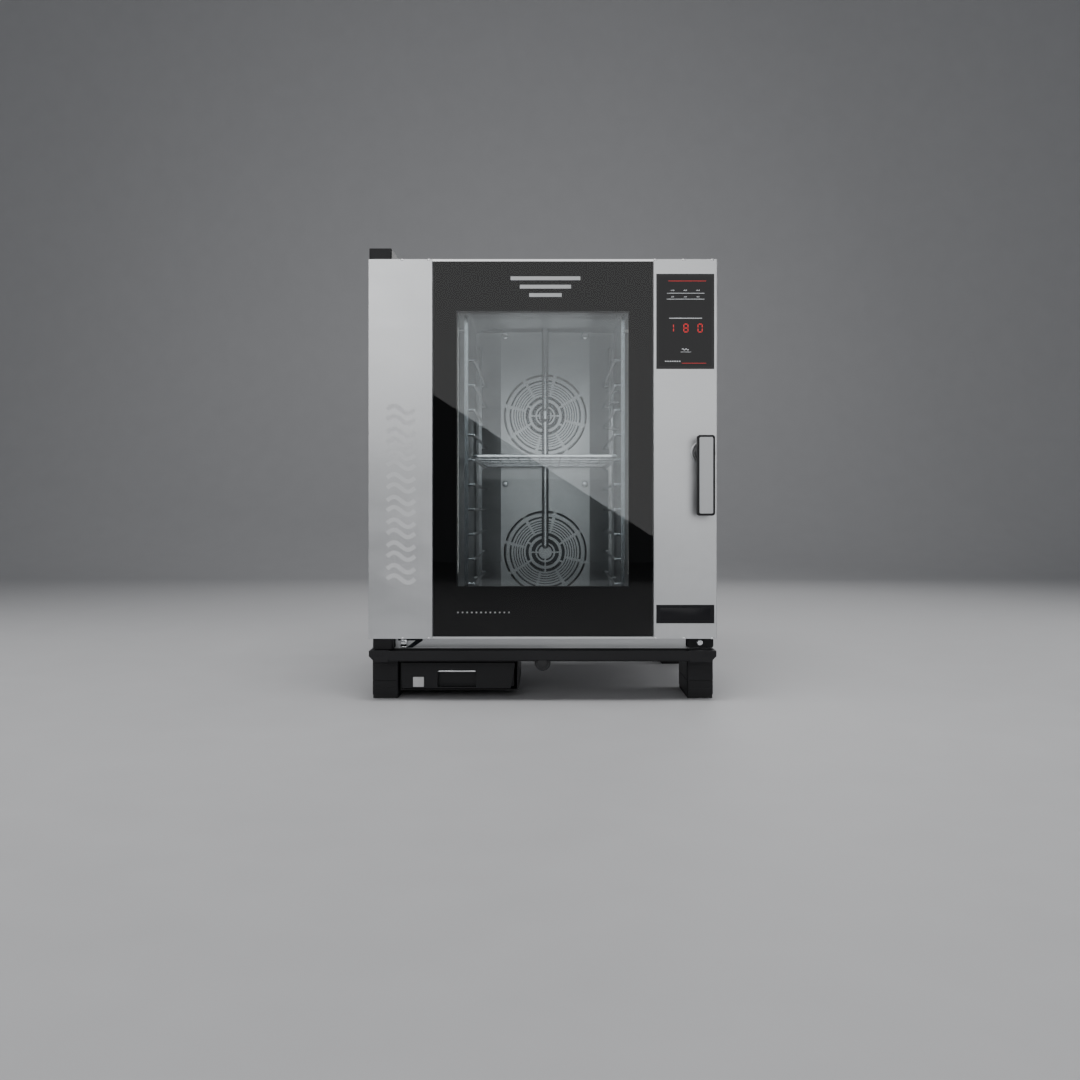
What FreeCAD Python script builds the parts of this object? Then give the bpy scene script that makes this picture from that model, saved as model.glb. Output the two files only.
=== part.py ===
"""Combi steamer oven: a countertop hot-air and steam oven with ten rack levels.

Frame: +Z up, +X to the right as seen from the front, -Y towards the cook. The origin is at the
middle of the bounding box, on the surface that the feet stand on. Lengths are in millimetres.
Depths are given behind the front plane of the closed door, and depth(d) turns one into a Y.
"""
import FreeCAD, Part
import Sketcher
import math
import os

doc = FreeCAD.newDocument("combi_steamer")
sheet = doc.addObject("Spreadsheet::Sheet", "Dims")
nodes = []


# ---------------------------------------------------------------- sizes and formulas

class Size:
    """A length, count or angle: its value, and the sheet formula that gives it."""

    def __init__(self, value, text):
        self.value = float(value)
        self.text = text

    def __add__(self, other):
        other = as_size(other)
        return Size(self.value + other.value, f"({self.text} + {other.text})")

    def __sub__(self, other):
        other = as_size(other)
        return Size(self.value - other.value, f"({self.text} - {other.text})")

    def __mul__(self, other):
        other = as_size(other)
        return Size(self.value * other.value, f"({self.text} * {other.text})")

    def __truediv__(self, other):
        other = as_size(other)
        return Size(self.value / other.value, f"({self.text} / {other.text})")

    def __radd__(self, other):
        return as_size(other) + self

    def __rsub__(self, other):
        return as_size(other) - self

    def __rmul__(self, other):
        return as_size(other) * self

    def __neg__(self):
        return Size(-self.value, f"(-1 * {self.text})")

    def __float__(self):
        return self.value


def as_size(number):
    """Return number as a Size."""
    if isinstance(number, Size):
        return number
    return Size(number, f"({float(number):.6g})")


def cell(alias, value, note):
    """Write one driving dimension into the sheet and return it as a Size."""
    row = str(cell.row)
    cell.row += 1
    sheet.set("A" + row, alias)
    sheet.set("B" + row, str(value))
    sheet.setAlias("B" + row, alias)
    sheet.set("C" + row, note)
    return Size(0 if isinstance(value, str) else value, "Dims." + alias)


cell.row = 1


def rule(alias, size, note):
    """Write a size that follows from others into the sheet, and return it as a Size."""
    cell(alias, "=" + size.text.replace("Dims.", ""), note)
    return Size(size.value, "Dims." + alias)


case_width = cell("case_width", 750, "oven and door, side to side")
case_depth = cell("case_depth", 783, "door front to rear panel")
door_high = cell("door_high", 817, "door, bottom edge to top edge")
floor_gap = cell("floor_gap", 110, "table to underside of base pan")
apron_high = cell("apron_high", 25, "underside of base pan to door bottom")
chimney_high = cell("chimney_high", 57, "exhaust chimney above the casing")
rear_proud = cell("rear_proud", 20, "pipes and gland behind the rear panel")
handle_proud = cell("handle_proud", 52, "handle front before the door front")
sheet_thick = cell("sheet_thick", 1.5, "casing and cavity sheet steel")
plate_thick = cell("plate_thick", 2, "front frame plate")
door_thick = cell("door_thick", 62, "door, front to back")
door_gap = cell("door_gap", 6, "door back to front frame")
door_over = cell("door_over", 1, "door to parts above and below it")
run_gap = cell("run_gap", 0.05, "radial clearance of a running pin")
slip_gap = cell("slip_gap", 0.2, "radial clearance of a fixed part in its hole")
safe_gap = cell("safe_gap", 0.5, "least distance between parts that pass")

cavity_share = cell("cavity_share", 0.50667, "cooking space width over casing width")
cavity_shift = cell("cavity_shift", 4, "cooking space to the right of the middle")
cavity_over = cell("cavity_over", 50, "cooking space ceiling to door top")
service_deep = cell("service_deep", 103, "cavity rear wall to rear panel")
wool_side = cell("wool_side", 25, "insulation beside, above and behind")
wool_under = cell("wool_under", 15, "insulation under the cavity floor")
drain_radius = cell("drain_radius", 20, "drain pipe at the rear")
drain_room = cell("drain_room", 2.5, "insulation to the drain pipe under it")
seal_wide = cell("seal_wide", 14, "door seal, width of its ring")
seal_over = cell("seal_over", 2, "cavity mouth to seal")

glass_thick = cell("glass_thick", 4, "each pane")
left_column = cell("left_column", 137.7, "left door cover, side to side")
trim_high = cell("trim_high", 4.5, "trims above and below the glass")
window_side = cell("window_side", 51.3, "left edge of outer glass to clear window")
window_low = cell("window_low", 112, "door bottom to window bottom")
window_over = cell("window_over", 111, "window top to door top")

display_wide = cell("display_wide", 125, "display panel width")
display_high = cell("display_high", 205, "display panel height")
display_drop = cell("display_drop", 31.5, "door top to display top")
display_edge = cell("display_edge", 5.5, "display panel to right door edge")
display_inner = cell("display_inner", 5.7, "display panel to right edge of outer glass")
port_high = cell("port_high", 40, "black plate low on the door")
port_low = cell("port_low", 33, "door bottom to black plate")

hinge_edge = cell("hinge_edge", 18, "hinge axis to left door edge")
hinge_deep = cell("hinge_deep", 22, "hinge axis behind door front")
pin_radius = cell("pin_radius", 6, "hinge pin")
bush_wall = cell("bush_wall", 4, "hinge bush wall")
bush_long = cell("bush_long", 14, "hinge bush and pin engagement")

handle_wide = cell("handle_wide", 38, "handle bar width")
handle_long = cell("handle_long", 170.5, "handle bar length")
handle_thick = cell("handle_thick", 14, "handle bar thickness")
handle_edge = cell("handle_edge", 30, "handle axis to right door edge")
handle_under = cell("handle_under", 145, "handle bar top to display bottom")
handle_over = cell("handle_over", 35.5, "bar above the handle axis")
boss_radius = cell("boss_radius", 19, "round boss behind the bar")
spindle_radius = cell("spindle_radius", 8, "handle spindle")

rack_levels = cell("rack_levels", 10, "rail levels")
rack_first = cell("rack_first", 76, "cavity floor to lowest rail")
rack_over = cell("rack_over", 102, "room over the top tray")
rack_side = cell("rack_side", 16, "cavity wall to upright middle")
rack_inset = cell("rack_inset", 14, "front frame to first upright")
rack_behind = cell("rack_behind", 30, "last upright to fan guard")
rack_bar = cell("rack_bar", 8, "square upright")
rail_radius = cell("rail_radius", 3.5, "rail rod")
rail_reach = cell("rail_reach", 16.5, "upright middle to rail middle")
shelf_level = cell("shelf_level", 5, "level that carries the shelf")
shelf_over = cell("shelf_over", 5, "shelf edge beyond rail middle")
shelf_inset = cell("shelf_inset", 6, "front frame to shelf")
shelf_rod = cell("shelf_rod", 4, "shelf frame rod radius")
shelf_wires = cell("shelf_wires", 12, "wires from front to rear")
shelf_wire = cell("shelf_wire", 1.5, "shelf wire radius")

fan_radius = cell("fan_radius", 100, "impeller")
fan_deep = cell("fan_deep", 36, "impeller depth")
fan_behind = cell("fan_behind", 8, "impeller to cavity rear wall")
fan_blades = cell("fan_blades", 16, "blades on one impeller")
fan_share = cell("fan_share", 0.50644, "fan axis to fan axis over cavity height")
shaft_radius = cell("shaft_radius", 8, "motor shaft")
coil_tube = cell("coil_tube", 4, "heater tube radius")
coil_gap = cell("coil_gap", 10, "impeller to heater tube")
coil_floor = cell("coil_floor", 8.8, "lower heater to cavity floor")
coil_pitch = cell("coil_pitch", 11, "heater ring to ring")
guard_room = cell("guard_room", 10, "impeller to fan guard")
guard_side = cell("guard_side", 12, "guard to cavity side walls")
guard_edge = cell("guard_edge", 6, "heater ring middle to guard bend")
guard_lean = cell("guard_lean", 22, "wing edge behind the flat middle")
guard_gap = cell("guard_gap", 8, "guard to cavity floor and ceiling")
slot_sectors = cell("slot_sectors", 8, "slots round the guard")
steam_radius = cell("steam_radius", 9, "steam pipe in the cavity")
steam_gap = cell("steam_gap", 1.5, "steam pipe to fan guard")
nozzle_radius = cell("nozzle_radius", 17, "steam nozzle")
motor_radius = cell("motor_radius", 55, "fan motor")
motor_deep = cell("motor_deep", 60, "fan motor length")

leg_wide = cell("leg_wide", 57, "leg block, side to side")
leg_deep = cell("leg_deep", 158, "leg block, front to rear")
leg_side = cell("leg_side", 2, "casing side to leg side")
leg_foot = cell("leg_foot", 39.5, "foot block height")
leg_pad = cell("leg_pad", 8, "rubber pad height")
leg_inset = cell("leg_inset", 42, "door front to front legs")
leg_behind = cell("leg_behind", 30, "rear legs to rear panel")
apron_front = cell("apron_front", 40, "apron and drawer behind door front")
gutter_high = cell("gutter_high", 23, "drip gutter height")
gutter_proud = cell("gutter_proud", 10, "gutter front before door front")
gutter_wall = cell("gutter_wall", 3, "gutter wall")
gutter_left = cell("gutter_left", 44, "left casing side to trough end")
gutter_right = cell("gutter_right", 59, "right casing side to trough end")
inlet_radius = cell("inlet_radius", 13.2, "water connector thread")
chimney_radius = cell("chimney_radius", 30, "exhaust chimney")

drawer_wide = cell("drawer_wide", 250, "detergent drawer front")
drawer_high = cell("drawer_high", 56, "drawer front height")
drawer_low = cell("drawer_low", 22, "table to drawer front")
drawer_side = cell("drawer_side", 6, "drawer front to leg")
drawer_deep = cell("drawer_deep", 250, "drawer tub")
drawer_wall = cell("drawer_wall", 3, "drawer and housing walls")
drawer_face = cell("drawer_face", 18, "drawer front thickness")

half = rule("half", case_width / 2, "middle to casing side")
door_low = rule("door_low", floor_gap + apron_high, "table to door bottom")
door_top = rule("door_top", door_low + door_high, "table to door top")
case_top = rule("case_top", door_top + door_over, "table to lid")
overall_depth = rule("overall_depth", handle_proud + case_depth + rear_proud, "handle to pipes")
frame_deep = rule("frame_deep", door_thick + door_gap, "door front to front frame")
liner_front = rule("liner_front", frame_deep + plate_thick, "door front to cavity mouth")
rear_face = rule("rear_face", case_depth - sheet_thick, "door front to inside of rear panel")
liner_rear = rule("liner_rear", case_depth - service_deep, "door front to cavity rear wall")
wool_rear = rule("wool_rear", liner_rear + sheet_thick + wool_side, "door front to rear of insulation")
base_top = rule("base_top", floor_gap + sheet_thick, "table to top of base pan")
drain_z = rule("drain_z", base_top + sheet_thick + drain_radius, "table to drain axis")
floor_z = rule("floor_z", drain_z + drain_radius + drain_room + wool_under + sheet_thick,
               "table to cavity floor")
ceiling_z = rule("ceiling_z", door_top - cavity_over, "table to cavity ceiling")
cavity_high = rule("cavity_high", ceiling_z - floor_z, "cooking space, floor to ceiling")
cavity_wide = rule("cavity_wide", case_width * cavity_share, "cooking space, side to side")
middle = cavity_shift

glass_left = rule("glass_left", half - left_column, "outer glass, left of the middle")
glass_right = rule("glass_right", half - display_edge - display_wide - display_inner,
                   "outer glass, right of the middle")
window_half = rule("window_half", glass_left - window_side, "half of the clear window")
display_low = rule("display_low", door_top - display_drop - display_high, "table to display bottom")
hinge_x = rule("hinge_x", hinge_edge - half, "hinge axis")
bush_radius = rule("bush_radius", pin_radius + bush_wall, "outside of hinge bush")
handle_x = rule("handle_x", half - handle_edge, "handle axis, sideways")
handle_z = rule("handle_z", display_low - handle_under - handle_over, "handle axis, height")

coil_radius = rule("coil_radius", fan_radius + coil_gap + coil_tube, "heater ring, middle of the tube")
guard_back = rule("guard_back", fan_behind + fan_deep + guard_room, "fan guard to cavity rear wall")
guard_face = rule("guard_face", liner_rear - guard_back, "door front to fan guard")
guard_flat = rule("guard_flat", (coil_radius + guard_edge) * 2, "flat middle of the fan guard")
guard_wing = rule("guard_wing", (cavity_wide - guard_flat) / 2 - guard_side,
                  "each slanted wing, side to side")
fan_low = rule("fan_low", floor_z + coil_radius + coil_tube + coil_floor, "table to lower fan axis")
fan_high = rule("fan_high", fan_low + cavity_high * fan_share, "table to upper fan axis")
fan_heights = (fan_low, fan_high)

rack_half = rule("rack_half", cavity_wide / 2 - rack_side, "cavity middle to upright middle")
rack_front = rule("rack_front", liner_front + rack_inset, "door front to first upright")
rack_deep = rule("rack_deep", guard_face - rack_behind - rack_front, "first upright to last")
rack_pitch = rule("rack_pitch", (cavity_high - rack_first - rack_over) / rack_levels, "rail to rail")
shelf_wide = rule("shelf_wide", (rack_half - rail_reach + shelf_over) * 2, "wire shelf width")
shelf_front = rule("shelf_front", liner_front + shelf_inset, "door front to shelf")
shelf_rear = rule("shelf_rear", guard_face - steam_gap - 2 * steam_radius - safe_gap,
                  "door front to rear of shelf")
gutter_rear = rule("gutter_rear", apron_front - sheet_thick, "door front to rear of gutter")
drawer_left = rule("drawer_left", leg_side + leg_wide + drawer_side, "casing side to drawer front")
doc.recompute()


def depth(distance):
    """Return the Y of a point this far behind the front plane of the closed door."""
    return handle_proud - overall_depth / 2 + distance


def span(low, high):
    """Return the Y span between two depths."""
    return (depth(low), depth(high))


def about(centre, width):
    """Return a span of this width about its middle."""
    return (centre - as_size(width) / 2, centre + as_size(width) / 2)


# ---------------------------------------------------------------- document helpers

def bind(thing, prop, amount):
    """Tie one property to its formula."""
    thing.setExpression(prop, as_size(amount).text)


def move(thing, x, y, z):
    """Tie a placement to three formulas."""
    for axis, amount in zip("xyz", (x, y, z)):
        bind(thing, ".Placement.Base." + axis, amount)


def node(thing, label):
    """Give a finished sub-part its own name and keep it for the export."""
    thing.Label = label
    nodes.append(thing)
    return thing


def box(x, y, z):
    """Make a plain block from three (low, high) spans."""
    block = doc.addObject("Part::Box", "block")
    for prop, (low, high) in zip(("Length", "Width", "Height"), (x, y, z)):
        bind(block, prop, as_size(high) - low)
    move(block, x[0], y[0], z[0])
    return block


TURNS = {
    "x": FreeCAD.Rotation(FreeCAD.Vector(0, 1, 0), 90),
    "y": FreeCAD.Rotation(FreeCAD.Vector(1, 0, 0), -90),
    "z": FreeCAD.Rotation(),
}


def rod(axis, start, length, radius):
    """Make a round rod from its start point along +X, +Y or +Z."""
    round_bar = doc.addObject("Part::Cylinder", "rod")
    bind(round_bar, "Radius", radius)
    bind(round_bar, "Height", length)
    round_bar.Placement.Rotation = TURNS[axis]
    move(round_bar, *start)
    return round_bar


def cone(axis, start, length, first, last):
    """Make a cone frustum from its start point along +X, +Y or +Z."""
    taper = doc.addObject("Part::Cone", "cone")
    bind(taper, "Radius1", first)
    bind(taper, "Radius2", last)
    bind(taper, "Height", length)
    taper.Placement.Rotation = TURNS[axis]
    move(taper, *start)
    return taper


def ring(centre, radius, tube):
    """Make a ring of round tube about an axis along Y."""
    hoop = doc.addObject("Part::Torus", "hoop")
    bind(hoop, "Radius1", radius)
    bind(hoop, "Radius2", tube)
    hoop.Placement.Rotation = TURNS["y"]
    move(hoop, *centre)
    return hoop


def ball(centre, radius):
    """Make a ball."""
    globe = doc.addObject("Part::Sphere", "ball")
    bind(globe, "Radius", radius)
    move(globe, *centre)
    return globe


def fuse(pieces):
    """Join pieces that run into each other."""
    joined = doc.addObject("Part::MultiFuse", "joined")
    joined.Shapes = pieces
    joined.Refine = True
    return joined


def group(pieces):
    """Keep equal pieces together as separate solids."""
    together = doc.addObject("Part::Compound", "group")
    together.Links = pieces
    return together


def cut(base, tools):
    """Take tools away from base."""
    left = doc.addObject("Part::Cut", "cut")
    left.Base = base
    left.Tool = tools[0] if len(tools) == 1 else group(tools)
    left.Refine = True
    return left


def edge_names(shape, along, keep=lambda point: True):
    """Name the straight edges that run along a direction and pass a test of their middle."""
    names = []
    for number, edge in enumerate(shape.Edges, 1):
        if isinstance(edge.Curve, Part.Line):
            tangent = edge.tangentAt(edge.FirstParameter)
            if abs(tangent.dot(along)) > 1 - 1e-6 and keep(edge.CenterOfMass):
                names.append(f"Edge{number}")
    return names


ALONG = {
    "x": FreeCAD.Vector(1, 0, 0),
    "y": FreeCAD.Vector(0, 1, 0),
    "z": FreeCAD.Vector(0, 0, 1),
}


def soften(base, axis, radius, keep=lambda point: True):
    """Round the edges of a Part object that run along one axis."""
    doc.recompute()
    rounded = doc.addObject("Part::Fillet", "rounded")
    rounded.Base = base
    names = edge_names(base.Shape, ALONG[axis], keep)
    rounded.Edges = [(int(name[4:]), float(radius), float(radius)) for name in names]
    return rounded


# ---------------------------------------------------------------- sketched bodies

PLANES = {
    "xy": ("XY_Plane", lambda x, y, z: (x, y, z)),
    "xz": ("XZ_Plane", lambda x, y, z: (x, z, -as_size(y))),
    "yz": ("YZ_Plane", lambda x, y, z: (y, z, x)),
}


def body(label):
    """Start a body that becomes one sub-part."""
    return node(doc.addObject("PartDesign::Body", label), label)


def sketch(part, plane, origin):
    """Start a sketch on a plane of the body, with its origin at a point in space."""
    drawing = part.newObject("Sketcher::SketchObject", "sketch")
    role, turned = PLANES[plane]
    face = [entry for entry in part.Origin.OriginFeatures if entry.Role == role][0]
    drawing.AttachmentSupport = [(face, "")]
    drawing.MapMode = "FlatFace"
    for axis, amount in zip("xyz", turned(*origin)):
        bind(drawing, "AttachmentOffset.Base." + axis, amount)
    return drawing


def measure(drawing, kind, *where):
    """Add a dimension, whose last argument is its size, and tie it to its formula."""
    amount = as_size(where[-1])
    number = drawing.addConstraint(Sketcher.Constraint(kind, *where[:-1], amount.value))
    bind(drawing, f"Constraints[{number}]", amount)


def outline(drawing, points):
    """Draw a closed outline through points measured from the sketch origin."""
    corners = [FreeCAD.Vector(float(u), float(v), 0) for u, v in points]
    total = len(corners)
    first = drawing.GeometryCount
    for number in range(total):
        line = Part.LineSegment(corners[number], corners[(number + 1) % total])
        drawing.addGeometry(line, False)
    for number in range(total):
        after = first + (number + 1) % total
        joint = Sketcher.Constraint("Coincident", first + number, 2, after, 1)
        drawing.addConstraint(joint)
    for number, (u, v) in enumerate(points):
        for kind, amount, axis in (("DistanceX", u, -2), ("DistanceY", v, -1)):
            if abs(float(amount)) < 1e-9:
                fixed = Sketcher.Constraint("PointOnObject", first + number, 1, axis)
                drawing.addConstraint(fixed)
            else:
                measure(drawing, kind, -1, 1, first + number, 1, amount)


def rectangle(drawing, width, height):
    """Draw a rectangle about the sketch origin."""
    u = as_size(width) / 2
    v = as_size(height) / 2
    outline(drawing, [(-u, -v), (u, -v), (u, v), (-u, v)])


def circle(drawing, radius):
    """Draw a circle about the sketch origin."""
    centre = FreeCAD.Vector(0, 0, 0)
    up = FreeCAD.Vector(0, 0, 1)
    number = drawing.addGeometry(Part.Circle(centre, up, float(radius)), False)
    drawing.addConstraint(Sketcher.Constraint("Coincident", number, 3, -1, 1))
    measure(drawing, "Radius", number, radius)


def arc_slot(drawing, inner, outer, first_angle, last_angle):
    """Draw a slot that bends round the sketch origin between two radii and two angles."""
    centre = FreeCAD.Vector(0, 0, 0)
    up = FreeCAD.Vector(0, 0, 1)
    start = drawing.GeometryCount
    angles = [math.radians(angle) for angle in (first_angle, last_angle)]
    for radius in (inner, outer):
        arc = Part.ArcOfCircle(Part.Circle(centre, up, float(radius)), *angles)
        drawing.addGeometry(arc, False)
    for angle in angles:
        ray = FreeCAD.Vector(math.cos(angle), math.sin(angle), 0)
        line = Part.LineSegment(ray * float(inner), ray * float(outer))
        drawing.addGeometry(line, False)
    for number in (start, start + 1):
        drawing.addConstraint(Sketcher.Constraint("Coincident", number, 3, -1, 1))
    for end, line in ((1, start + 2), (2, start + 3)):
        drawing.addConstraint(Sketcher.Constraint("Coincident", start, end, line, 1))
        drawing.addConstraint(Sketcher.Constraint("Coincident", start + 1, end, line, 2))
    measure(drawing, "Radius", start, inner)
    measure(drawing, "Radius", start + 1, outer)


def pad(part, drawing, length):
    """Raise a sketch by a length along its plane's normal."""
    raised = part.newObject("PartDesign::Pad", "pad")
    raised.Profile = (drawing, [""])
    bind(raised, "Length", length)
    doc.recompute()
    return raised


def pocket(part, drawing, length):
    """Sink a sketch by a length against its plane's normal, and check that it cuts."""
    before = part.Shape.Volume
    sunk = part.newObject("PartDesign::Pocket", "pocket")
    sunk.Profile = (drawing, [""])
    bind(sunk, "Length", length)
    doc.recompute()
    if part.Shape.Volume > before - 1e-3:
        raise ValueError(part.Label + ": a pocket cuts nothing")
    return sunk


def middle_of(pair):
    """Return the middle of a span."""
    return (as_size(pair[0]) + pair[1]) / 2


def extent(pair):
    """Return the length of a span."""
    return as_size(pair[1]) - pair[0]


def grow(pair, amount):
    """Return a span made larger by an amount at both ends."""
    return (as_size(pair[0]) - amount, as_size(pair[1]) + amount)


def face_of(plane, x, y, z, far):
    """Return a block's sketch origin, sketch size and travel for one plane.

    far is False for a pad, which starts at the near face, and True for a pocket.
    """
    centre = [middle_of(pair) for pair in (x, y, z)]
    if plane == "xy":
        centre[2] = z[1] if far else z[0]
        return centre, extent(x), extent(y), extent(z)
    if plane == "xz":
        centre[1] = y[0] if far else y[1]
        return centre, extent(x), extent(z), extent(y)
    centre[0] = x[1] if far else x[0]
    return centre, extent(y), extent(z), extent(x)


def add_block(part, plane, x, y, z):
    """Pad a rectangle into a block given by three spans."""
    origin, width, height, length = face_of(plane, x, y, z, False)
    drawing = sketch(part, plane, origin)
    rectangle(drawing, width, height)
    return pad(part, drawing, length)


def cut_block(part, plane, x, y, z):
    """Pocket a rectangle, which takes a block away."""
    origin, width, height, length = face_of(plane, x, y, z, True)
    drawing = sketch(part, plane, origin)
    rectangle(drawing, width, height)
    return pocket(part, drawing, length)


def add_disc(part, plane, origin, length, radius):
    """Pad a circle."""
    drawing = sketch(part, plane, origin)
    circle(drawing, radius)
    return pad(part, drawing, length)


def cut_disc(part, plane, origin, length, radius):
    """Pocket a circle."""
    drawing = sketch(part, plane, origin)
    circle(drawing, radius)
    return pocket(part, drawing, length)


def add_outline(part, plane, origin, points, length):
    """Pad a closed outline."""
    drawing = sketch(part, plane, origin)
    outline(drawing, points)
    return pad(part, drawing, length)


def round_off(part, axis, radius, keep=lambda point: True):
    """Fillet the body's edges that run along one axis."""
    rounded = part.newObject("PartDesign::Fillet", "round")
    rounded.Base = (rounded.BaseFeature, edge_names(part.Shape, ALONG[axis], keep))
    bind(rounded, "Radius", radius)
    doc.recompute()
    return rounded


def repeat_line(part, feature, drawing, axis, count, pitch):
    """Repeat a feature along a sketch axis."""
    row = part.newObject("PartDesign::LinearPattern", "row")
    row.Originals = [feature]
    row.Direction = (drawing, [axis])
    bind(row, "Occurrences", count)
    bind(row, "Length", (as_size(count) - 1) * pitch)
    part.Tip = row
    doc.recompute()
    return row


def repeat_round(part, feature, drawing, count):
    """Repeat a feature round the normal axis of its sketch."""
    wheel = part.newObject("PartDesign::PolarPattern", "wheel")
    wheel.Originals = [feature]
    wheel.Axis = (drawing, ["N_Axis"])
    wheel.Angle = 360
    bind(wheel, "Occurrences", count)
    part.Tip = wheel
    doc.recompute()
    return wheel


def plain(label, x, y, z, plane="xz"):
    """Make a sub-part that is one padded block."""
    part = body(label)
    add_block(part, plane, x, y, z)
    return part


# ---------------------------------------------------------------- casing

inner_half = half - sheet_thick
cavity_span = about(middle, cavity_wide)
pin_hole = pin_radius + slip_gap
bracket_thick = 5
bracket_before = 10
bracket_past = 30
bracket_deep = (hinge_deep - bracket_before, frame_deep + bracket_past)
bracket_side = 5
bracket_wide = 40
cover_room = 4
cover_front = bracket_deep[0] - cover_room
cover_wall = 3
cover_high = 24
cover_round = 4
arm_thick = 8
arm_under = 3
arm_wall = 2
arm_side = 27
lower_arm = (door_low - arm_under - arm_thick, door_low - arm_under)
lower_arm_x = (hinge_x - pin_radius - arm_wall, hinge_x + arm_side)
flange_high = 20
corner_front = apron_front - 10
leg_rear = case_depth - leg_behind - leg_deep
leg_round = 4
drawer_x = (-half + drawer_left, -half + drawer_left + drawer_wide)
housing_sides = (4, 6)
housing_under = 7
housing_behind = 12
housing_x = (drawer_x[0] - housing_sides[0], drawer_x[1] + housing_sides[1])
housing_low = drawer_low - housing_under
housing_front = apron_front + drawer_face + 1
housing_rear = housing_front + drawer_deep + housing_behind
tub_side = 3
tub_x = (drawer_x[0] + tub_side, drawer_x[1] - tub_side)
spout_side = 60
spout_x = drawer_x[1] + spout_side
cam_reach = 34
tongue_wide = 10
slot_room = 4
slot_over = 5
slot_x = (handle_x - cam_reach - slot_room, handle_x + tongue_wide / 2 + slot_room)
slot_z = (handle_z - tongue_wide / 2 - slot_room, handle_z + cam_reach + slot_over)
pipe_deep = guard_face - steam_radius - steam_gap
chimney_side = 46
chimney_before = 40
chimney_at = (middle - cavity_wide / 2 + chimney_side, depth(liner_rear - chimney_before))
drain_at = (middle, depth(liner_rear / 2))
drain_run = drain_radius - 1
inlet_side = 55
inlet_pitch = 40
inlet_over = 110
inlet_places = [(-half + inlet_side + number * inlet_pitch, floor_gap + inlet_over) for number in (0, 1)]
gland_side = 60
gland_at = (half - gland_side, floor_gap + gland_side)
gland_radius = 12
stud_places = [(level, post) for level in (floor_z + 60, ceiling_z - 90) for post in (0, 1)]
stud_radius = 5
post_depths = (rack_front, rack_front + rack_deep)
standoff_side = 108
standoff_x = (middle - standoff_side, middle + standoff_side)
standoff_z = (floor_z + 18, (fan_low + fan_high) / 2, ceiling_z - 18)
standoff_radius = 6
cooling_size = 92
cooling_deep = 25
cooling_x = half - 66
cooling_z = floor_gap + 150
tail_rise = 20
tail_side = coil_radius - 2
tail_radius = coil_tube + slip_gap
neck_radius = 26
flange_past = 14
shaft_past = 28
disc_thick = 1.5
pipe_wall = 2
wool_right = middle + cavity_wide / 2 + sheet_thick + wool_side


def base_pan():
    """Floor tray that carries everything: a plate, two side flanges and a front lip turned down."""
    part = body("base_pan")
    rear = rear_face - sheet_thick
    lip_high = 14
    slot_count = 14
    slot_pitch = 10
    slot_front = liner_rear / 2 + 80
    add_block(part, "xy", (-inner_half, inner_half), span(gutter_rear, rear), (floor_gap, base_top))
    for side in (-1, 1):
        edge = sorted((side * inner_half, side * (inner_half - sheet_thick)), key=float)
        add_block(part, "xy", edge, span(liner_front, rear), (base_top, base_top + flange_high))
    add_block(part, "xy", (-inner_half, inner_half), span(gutter_rear, apron_front),
              (floor_gap - lip_high, floor_gap))
    origin, width, height, length = face_of("xy", (half - 150, half - 50), span(slot_front, slot_front + 4),
                                            (floor_gap, base_top), True)
    drawing = sketch(part, "xy", origin)
    rectangle(drawing, width, height)
    slot = pocket(part, drawing, length)
    repeat_line(part, slot, drawing, "V_Axis", slot_count, slot_pitch)


def front_frame():
    """Flat plate round the mouth of the cooking space, behind the closed door."""
    part = body("front_frame")
    deep = span(frame_deep, liner_front)
    add_block(part, "xz", (-inner_half, inner_half), deep, (base_top, case_top - sheet_thick))
    cut_block(part, "xz", cavity_span, deep, (floor_z, ceiling_z))
    cut_block(part, "xz", slot_x, deep, slot_z)
    cut_block(part, "xz", (lower_arm_x[0] - 1, lower_arm_x[1] + 1), deep, (base_top, lower_arm[1] + 1))


def cavity_liner():
    """Cooking space: a deep steel box, open at the front, with its studs and guard posts."""
    part = body("cavity_liner")
    wide = about(middle, cavity_wide + 2 * sheet_thick)
    add_block(part, "xz", wide, span(liner_front, liner_rear + sheet_thick),
              (floor_z - sheet_thick, ceiling_z + sheet_thick))
    cut_block(part, "xz", cavity_span, span(liner_front, liner_rear), (floor_z, ceiling_z))
    corner_radius = 8
    round_off(part, "y", corner_radius)
    for height in fan_heights:
        back = depth(liner_rear)
        cut_disc(part, "xz", (middle, back, height), sheet_thick, shaft_radius + 1)
        for side in (-1, 1):
            cut_disc(part, "xz", (middle - tail_side, back, height + side * tail_rise),
                     sheet_thick, tail_radius)
    cut_disc(part, "xy", (drain_at[0], drain_at[1], floor_z), sheet_thick, drain_run + slip_gap)
    cut_disc(part, "xy", (middle, depth(pipe_deep), ceiling_z + sheet_thick), sheet_thick,
             steam_radius + slip_gap)
    cut_disc(part, "xy", (chimney_at[0], chimney_at[1], ceiling_z + sheet_thick), sheet_thick,
             chimney_radius - pipe_wall / 2)
    reach = cavity_wide / 2 - rack_half - rack_bar / 2
    for height, post in stud_places:
        for side in (-1, 1):
            start = middle + side * cavity_wide / 2
            if side > 0:
                start = start - reach
            add_disc(part, "yz", (start, depth(post_depths[post]), height), reach, stud_radius)
    for across in standoff_x:
        for height in standoff_z:
            add_disc(part, "xz", (across, depth(liner_rear), height), guard_back - sheet_thick,
                     standoff_radius)


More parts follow.
